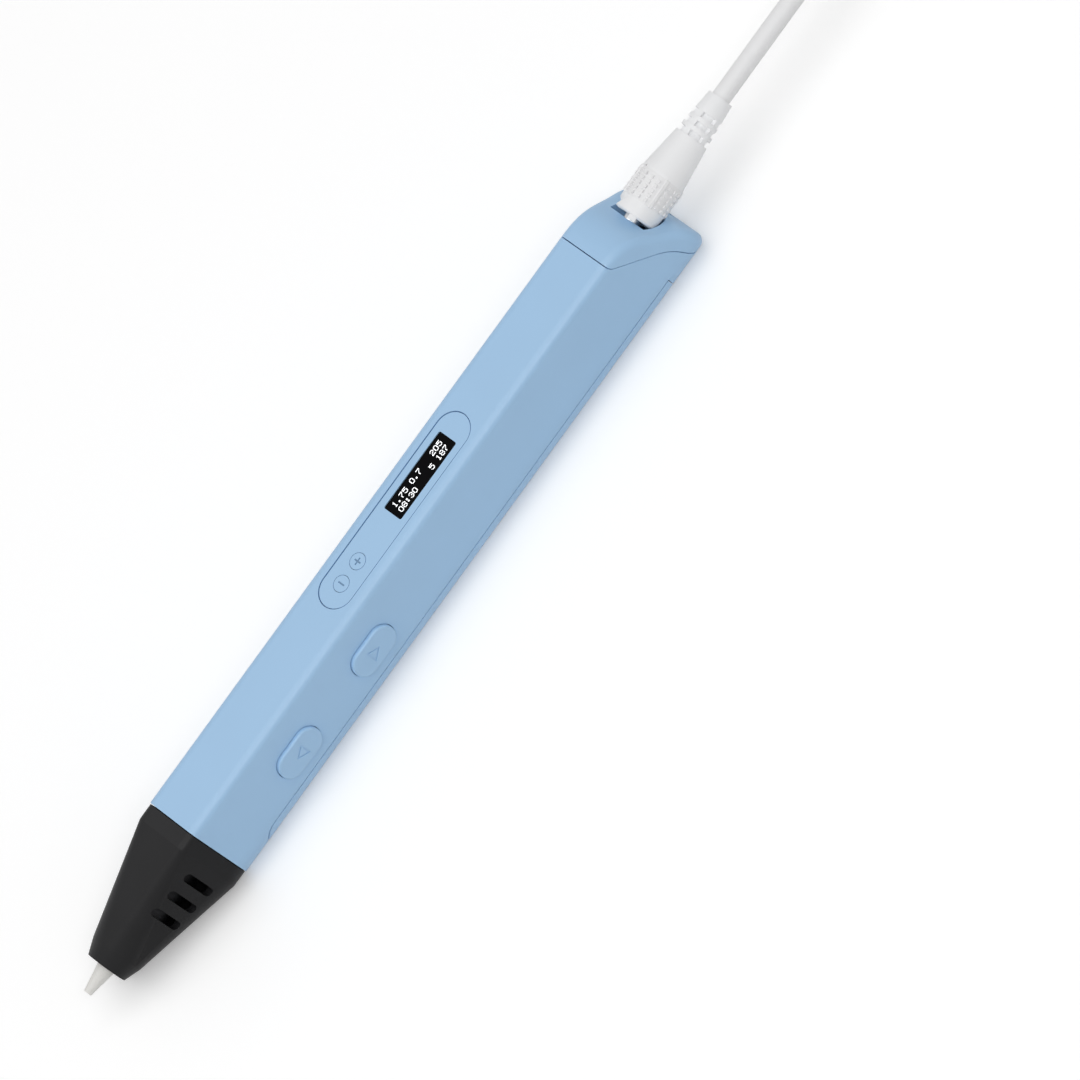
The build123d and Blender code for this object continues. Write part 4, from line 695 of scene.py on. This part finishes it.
# ---------------------------------------------------------------- operators
class PEN_OT_stage(bpy.types.Operator):
    """Camera, lights, floor and world"""

    bl_idname = "pen.stage"
    bl_label = "Stage"

    def execute(self, context):
        settings = context.scene.pen_stage
        self.camera(context.scene, settings.focal_length)
        fill_place = CAMERA_TARGET + CAMERA_SIDE * FILL_REACH
        self.lamp("key_light", settings.key_power, KEY_SIZE, KEY_PLACE)
        self.lamp("fill_light", settings.fill_power, FILL_SIZE, fill_place)
        self.floor(context.scene)
        self.sky(context.scene, settings.sky_level)
        context.scene.view_settings.view_transform = "Standard"
        return {"FINISHED"}

    @staticmethod
    def camera(scene, focal_length):
        """Camera that sees the same width whatever its focal length."""
        pen_way = Vector((1, 0, 0))
        right = cos(CAMERA_ROLL) * pen_way - sin(CAMERA_ROLL) * LEVEL_UP
        up = sin(CAMERA_ROLL) * pen_way + cos(CAMERA_ROLL) * LEVEL_UP
        data = bpy.data.cameras.new("camera")
        data.lens, data.sensor_width = focal_length, SENSOR_WIDTH
        data.clip_start, data.clip_end = 0.1, 20.0
        camera = bpy.data.objects.new("camera", data)
        scene.collection.objects.link(camera)
        distance = VIEW_WIDTH * focal_length / SENSOR_WIDTH
        turn = Matrix((right, up, CAMERA_SIDE)).transposed().to_4x4()
        camera.matrix_world = Matrix.Translation(CAMERA_TARGET + CAMERA_SIDE * distance) @ turn
        scene.camera = camera

    @staticmethod
    def floor(scene):
        """White table, lifted a little for the camera alone so that it stays white."""
        mesh = bpy.data.meshes.new("floor")
        corners = [
            (FLOOR_HALF_SIDE * x, FLOOR_HALF_SIDE * y, FLOOR_LEVEL)
            for x, y in ((-1, -1), (1, -1), (1, 1), (-1, 1))
        ]
        mesh.from_pydata(corners, [], [(0, 1, 2, 3)])
        floor = bpy.data.objects.new("floor", mesh)
        scene.collection.objects.link(floor)
        white = (FLOOR_WHITE,) * 3
        made, nodes, links, shader = material("floor_white", white, 0.85, specular=0.0)
        shader.inputs["Emission Color"].default_value = (1.0, 1.0, 1.0, 1.0)
        lift = nodes.new("ShaderNodeMath")
        lift.operation = "MULTIPLY"
        lift.inputs[1].default_value = FLOOR_LIFT
        links.new(nodes.new("ShaderNodeLightPath").outputs["Is Camera Ray"], lift.inputs[0])
        links.new(lift.outputs[0], shader.inputs["Emission Strength"])
        mesh.materials.append(made)

    @staticmethod
    def sky(scene, level):
        """White sky: full to the eye and in mirrors and glass, dimmer as a light."""
        world = bpy.data.worlds.new("studio")
        scene.world = world
        world.use_nodes = True
        nodes, links = world.node_tree.nodes, world.node_tree.links
        background = nodes["Background"]
        background.inputs["Color"].default_value = (1.0, 1.0, 1.0, 1.0)
        path = nodes.new("ShaderNodeLightPath")
        seen = path.outputs["Is Camera Ray"]
        for output in ("Is Glossy Ray", "Is Transmission Ray"):
            either = nodes.new("ShaderNodeMath")
            either.operation = "MAXIMUM"
            links.new(seen, either.inputs[0])
            links.new(path.outputs[output], either.inputs[1])
            seen = either.outputs[0]
        strength = nodes.new("ShaderNodeMapRange")
        strength.inputs["To Min"].default_value = level
        strength.inputs["To Max"].default_value = 1.0
        links.new(seen, strength.inputs["Value"])
        links.new(strength.outputs["Result"], background.inputs["Strength"])

    @staticmethod
    def lamp(name, power, size, place):
        """Square soft light turned to the middle of the pen."""
        light = bpy.data.lights.new(name, "AREA")
        light.size, light.energy = size, power
        made = bpy.data.objects.new(name, light)
        bpy.context.scene.collection.objects.link(made)
        aim = (place - LAMP_AIM).to_track_quat("Z", "Y")
        made.matrix_world = Matrix.Translation(place) @ aim.to_matrix().to_4x4()


class PEN_OT_finishes(bpy.types.Operator):
    """Materials of every slot, put on the casing, the works and the plugs"""

    bl_idname = "pen.finishes"
    bl_label = "Finishes"

    def execute(self, context):
        finishes = all_finishes(context.scene)
        for name, node in frame["nodes"].items():
            node.data.materials.clear()
            # Painted shade: the heat shield and the plug's barrel get a darker finish than their
            # slot
            node.data.materials.append(finishes[SHADE_DARKENED.get(name, SLOT_OF[name])])
            if not node.data.has_custom_normals:
                smooth_by_angle(node.data, radians(35))
        return {"FINISHED"}


class PEN_OT_cord(bpy.types.Operator):
    """Power cord: out of the plug, along the table and through the turns of its tied hank"""

    bl_idname = "pen.cord"
    bl_label = "Power Cord"

    def execute(self, context):
        settings = context.scene.pen_cord
        points = [CORD_EXIT, CORD_STRAIGHT, *CORD_ROUTE]
        last = len(NEAR_LANES) - 1
        for k, lane in enumerate(NEAR_LANES):
            next_lane = NEAR_LANES[0 if k == last else k + 1]
            points += self.leg(*lane, 1.0, skip=(k == 0))
            points += self.turn(HANK_REAR_TURN, lane, next_lane, 1.0)
            points += self.leg(*next_lane, -1.0, skip=(k == last))
            if k < last:
                points += self.turn(HANK_FRONT_TURN, next_lane, next_lane, -1.0)
        points += TAIL_ROUTE
        curve = bpy.data.curves.new("power_cord_run", "CURVE")
        curve.dimensions = "3D"
        spline = curve.splines.new("NURBS")
        spline.points.add(len(points) - 1)
        for point, place in zip(spline.points, points):
            point.co = (*place, 1.0)
        spline.order_u = 3
        spline.use_endpoint_u = True
        spline.resolution_u = 6
        curve.bevel_depth = settings.diameter / 2
        curve.bevel_resolution = 6
        curve.materials.append(finish_of("cable_white"))
        cord = bpy.data.objects.new("power_cord_run", curve)
        context.scene.collection.objects.link(cord)
        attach(cord, "power_plug")
        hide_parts("power_cord", "cord_hank", "cord_tail")
        return {"FINISHED"}

    @staticmethod
    def leg(across, height, side, skip):
        """Points of one run of the hank, drawn in at the tie; skip leaves out its front point."""
        stations = (HANK_FRONT_TURN + LEG_INSET, HANK_MIDDLE, HANK_REAR_TURN - LEG_INSET)
        waist = across - WAIST_PULL
        run = [(x, side * (waist if x == HANK_MIDDLE else across), height) for x in stations]
        if side < 0:
            run.reverse()
            return run[:-1] if skip else run
        return run[1:] if skip else run

    @staticmethod
    def turn(x, start, end, way):
        """Four points round an end of the hank, from one lane to the next."""
        corners, count, half_step = [], 4, 22.5
        for i in range(count):
            share = (i + 0.5) / count
            radius = (start[0] + (end[0] - start[0]) * share) / cos(radians(half_step))
            height = start[1] + (end[1] - start[1]) * share
            angle = radians(90 - half_step * (2 * i + 1))
            corners.append((x + way * radius * cos(angle), way * radius * sin(angle), height))
        return corners


class PEN_OT_cord_strap(bpy.types.Operator):
    """Hook-and-loop strap round the hank, its free end lying on top"""

    bl_idname = "pen.cord_strap"
    bl_label = "Cord Strap"

    def execute(self, context):
        low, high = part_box("cord_tie")
        thickness, corner, edge, lift = 0.6 * MM, 2.2 * MM, 0.12 * MM, 0.25 * MM
        loop = self.loop(low.y, high.y, low.z, high.z, corner)
        free_end = [(low.y * share, high.z + lift) for share in (0.15, 0.5, 0.8)]
        work = bmesh.new()
        self.band(work, loop, thickness, low.x, high.x, closed=True)
        self.band(work, free_end, thickness, low.x, high.x, closed=False)
        strap = bpy.data.objects.new("cord_strap", mesh_of("cord_strap", work))
        context.scene.collection.objects.link(strap)
        rounding = strap.modifiers.new("rounding", "BEVEL")
        rounding.width, rounding.segments = edge, 2
        rounding.limit_method = "ANGLE"
        baked(strap)
        strap.data.materials.append(finish_of("tie_grey"))
        smooth_by_angle(strap.data, radians(40))
        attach(strap, "power_plug")
        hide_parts("cord_tie")
        return {"FINISHED"}

    @staticmethod
    def loop(left, right, bottom, top, corner):
        """Rounded outline of the strap in the YZ plane."""
        outline, steps = [], 6
        centres = (
            (right - corner, top - corner, 0),
            (left + corner, top - corner, 90),
            (left + corner, bottom + corner, 180),
            (right - corner, bottom + corner, 270),
        )
        for y, z, first in centres:
            for step in range(steps + 1):
                angle = radians(first + 90 / steps * step)
                outline.append((y + corner * cos(angle), z + corner * sin(angle)))
        return outline

    @staticmethod
    def band(work, outline, thickness, front, rear, closed):
        """Flat band of the given thickness that follows an outline."""
        count = len(outline)
        rings = []
        for k, (y, z) in enumerate(outline):
            before = outline[(k - 1) % count] if closed or k else outline[k]
            after = outline[(k + 1) % count] if closed or k < count - 1 else outline[k]
            along = Vector((after[0] - before[0], after[1] - before[1])).normalized()
            inward = Vector((-along.y, along.x)) * thickness
            face, back = (y, z), (y + inward.x, z + inward.y)
            section = ((front, *face), (rear, *face), (rear, *back), (front, *back))
            rings.append([work.verts.new(place) for place in section])
        walls(work, rings, closed)


class PEN_OT_plug_grip(bpy.types.Operator):
    """Pads of square knobs round the power plug's grip"""

    bl_idname = "pen.plug_grip"
    bl_label = "Plug Grip"

    def execute(self, context):
        settings = context.scene.pen_grip
        front, axis_height, radius = plug_round()
        first_column, sunk = 3.7 * MM, 0.1 * MM
        pad_middle = radians(4)
        rows_span = settings.row_angle * (settings.rows - 1)
        piece = points_object("plug_grip_knobs", [])
        tree, sockets = knobs_tree(finish_of("cable_white"))
        modifier = piece.modifiers.new("knobs", "NODES")
        modifier.node_group = tree
        values = {
            "Start": front + first_column,
            "Radius": radius - sunk,
            "Axis Height": axis_height,
            "Columns": settings.columns,
            "Pitch": settings.pitch,
            "Rows": settings.rows,
            "Pads": 4,
            "First Angle": pad_middle - rows_span / 2,
            "Row Angle": settings.row_angle,
            "Knob Width": 0.7 * MM,
            "Knob Height": 0.45 * MM,
        }
        for name, value in values.items():
            modifier[sockets[name].identifier] = value
        baked(piece)
        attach(piece, "power_plug")
        return {"FINISHED"}


class PEN_OT_grip_sleeve(bpy.types.Operator):
    """Sleeve under the knobs, with a smooth rail between each pair of pads"""

    bl_idname = "pen.grip_sleeve"
    bl_label = "Grip Sleeve"

    def execute(self, context):
        plug_front, axis_height, plug_radius = plug_round()
        lift, wall, rail_height = 0.03 * MM, 0.5 * MM, 0.3 * MM
        front_slope, rear_slope = 0.1 * MM, 0.3 * MM
        front, rear, outer = plug_front + 2.9 * MM, plug_front + 9.3 * MM, plug_radius + lift
        steps, rail_width, first_rail = 120, 3, 49
        rails = [round((first_rail + 90 * k) * steps / 360) % steps for k in range(4)]
        work = bmesh.new()
        rings = []
        for step in range(steps):
            on_rail = any(0 <= step - rail < rail_width for rail in rails)
            radius = outer + (rail_height if on_rail else 0.0)
            corners = (
                (front, outer - wall),
                (front + front_slope, radius),
                (rear - rear_slope, radius),
                (rear, outer - wall),
            )
            angle = radians(360 * step / steps)
            rings.append(ring_round_plug(work, angle, axis_height, corners))
        walls(work, rings, closed=True)
        mesh = mesh_of("plug_grip_sleeve", work)
        smooth_by_angle(mesh, radians(20))
        mesh_piece("plug_grip_sleeve", mesh, "cable_white", "power_plug")
        return {"FINISHED"}


class PEN_OT_plug_key(bpy.types.Operator):
    """Small moulded key on the plug's front rim, reaching into the pocket"""

    bl_idname = "pen.plug_key"
    bl_label = "Plug Key"

    def execute(self, context):
        plug_front, axis_height, radius = plug_round()
        front, rear = plug_front - 0.8 * MM, plug_front + 0.2 * MM
        outer, inner = radius - 0.1 * MM, radius - 1.6 * MM
        first_angle, step_angle, stations = 42, 4, 6
        corners = ((front, outer), (rear, outer), (rear, inner), (front, inner))
        work = bmesh.new()
        rings = [
            ring_round_plug(work, radians(first_angle - step_angle * k), axis_height, corners)
            for k in range(stations)
        ]
        walls(work, rings, closed=False)
        mesh_piece("plug_key", mesh_of("plug_key", work), "cable_white", "power_plug")
        return {"FINISHED"}


class PEN_OT_button_signs(bpy.types.Operator):
    """Sheets of darker shell blue on the floor of the engraved minus and plus of the round
    buttons, as painted shade
    """

    bl_idname = "pen.button_signs"
    bl_label = "Button Signs"

    def execute(self, context):
        half, arm, depth, thickness = 0.8 * MM, 0.16 * MM, 0.15 * MM, 0.03 * MM
        minus = [(arm, half), (-arm, half), (-arm, -half), (arm, -half)]
        plus = [
            (half, arm), (arm, arm), (arm, half), (-arm, half), (-arm, arm), (-half, arm),
            (-half, -arm), (-arm, -arm), (-arm, -half), (arm, -half), (arm, -arm), (half, -arm),
        ]
        signs = (("minus_button", "minus_key", minus), ("plus_button", "plus_key", plus))
        for node, body, outline in signs:
            low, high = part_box(node)
            centre = (low + high) / 2
            floor = high.z - depth
            work = bmesh.new()
            rings = [
                [work.verts.new((centre.x + x, centre.y + y, level)) for x, y in outline]
                for level in (floor, floor + thickness)
            ]
            walls(work, rings, closed=False)
            mesh = mesh_of(node + "_sign", work)
            # Painted shade: the sheet in the engraving gets a darker blue than the shell
            mesh.materials.append(finish_of("mark_blue"))
            mesh_piece(node + "_sign", mesh, "body_blue", body)
        return {"FINISHED"}


class PEN_OT_display_digits(bpy.types.Operator):
    """Two rows of lit digits, laid just over the display window"""

    bl_idname = "pen.display_digits"
    bl_label = "Display Digits"

    def execute(self, context):
        settings = context.scene.pen_display
        low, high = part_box("display_window")
        centre = (low + high) / 2
        lift, thickness, dot_share = 0.012 * MM, 0.02 * MM, 0.94
        pitch = settings.dot_pitch
        points = []
        for line, text in enumerate((settings.top_row, settings.bottom_row)):
            width = (len(text) * GLYPH_PITCH - 1) * pitch
            left = centre.x - width / 2
            first = centre.y + (0.5 - line) * ROW_PITCH * pitch + (GLYPH_HEIGHT - 1) / 2 * pitch
            for place, glyph in enumerate(text):
                for down, bits in enumerate(DIGITS[glyph]):
                    for over, bit in enumerate(bits):
                        if bit == "1":
                            x = left + (place * GLYPH_PITCH + over) * pitch
                            points.append((x, first - down * pitch, high.z + lift))
        size = (pitch * dot_share, pitch * dot_share, thickness)
        glow = lit_dot("display_white", settings.glow)
        tiled("display_digits", points, size, "casing", glow)
        return {"FINISHED"}


class PEN_OT_usb_ribs(bpy.types.Operator):
    """Moulded finger ribs on both broad faces of the far plug"""

    bl_idname = "pen.usb_ribs"
    bl_label = "Far Plug Ribs"

    def execute(self, context):
        low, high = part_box("usb_plug_body")
        middle = (low.y + high.y) / 2
        count, first, pitch = 6, 9.0, 1.8
        heights = (low.z + 0.15 * MM, high.z)
        points = [
            (low.x + (first + pitch * k) * MM, middle, z) for k in range(count) for z in heights
        ]
        size = (0.8 * MM, 9.0 * MM, 0.3 * MM)
        tiled("usb_plug_ribs", points, size, "power_plug", finish_of("cable_white"))
        return {"FINISHED"}


class PEN_OT_declare_cord(bpy.types.Operator):
    """Operator with no step of its own: it states nothing about the cord"""

    bl_idname = "pen.declare_cord"
    bl_label = "Declare Cord"

    def execute(self, context):
        return {"FINISHED"}


class PEN_PT_panel(bpy.types.Panel):
    """Lists the pen's operators and settings"""

    bl_label = "Printing Pen"
    bl_idname = "PEN_PT_panel"
    bl_space_type = "VIEW_3D"
    bl_region_type = "UI"
    bl_category = "Pen"

    def draw(self, context):
        for operator in OPERATORS:
            self.layout.operator(operator.bl_idname)
        for name, group in SETTINGS:
            box = self.layout.box()
            for key in group.__annotations__:
                box.prop(getattr(context.scene, name), key)


SETTINGS = (
    ("pen_finish", PenFinishSettings),
    ("pen_cord", PenCordSettings),
    ("pen_grip", PenGripSettings),
    ("pen_display", PenDisplaySettings),
    ("pen_stage", PenStageSettings),
)
OPERATORS = (
    PEN_OT_stage,
    PEN_OT_finishes,
    PEN_OT_cord,
    PEN_OT_cord_strap,
    PEN_OT_plug_grip,
    PEN_OT_grip_sleeve,
    PEN_OT_plug_key,
    PEN_OT_button_signs,
    PEN_OT_display_digits,
    PEN_OT_usb_ribs,
    PEN_OT_declare_cord,
)


def register():
    """Register the classes and put their settings on the scene."""
    for name, group in SETTINGS:
        bpy.utils.register_class(group)
        setattr(bpy.types.Scene, name, bpy.props.PointerProperty(type=group))
    for made in (*OPERATORS, PEN_PT_panel):
        bpy.utils.register_class(made)


def unregister():
    """Take the settings and the classes away again."""
    for made in (PEN_PT_panel, *reversed(OPERATORS)):
        bpy.utils.unregister_class(made)
    for name, group in reversed(SETTINGS):
        delattr(bpy.types.Scene, name)
        bpy.utils.unregister_class(group)


def main():
    """Build the stage and every piece, in order."""
    register()
    for operator in OPERATORS:
        family, call = operator.bl_idname.split(".")
        getattr(getattr(bpy.ops, family), call)()


if __name__ == "__main__":
    main()
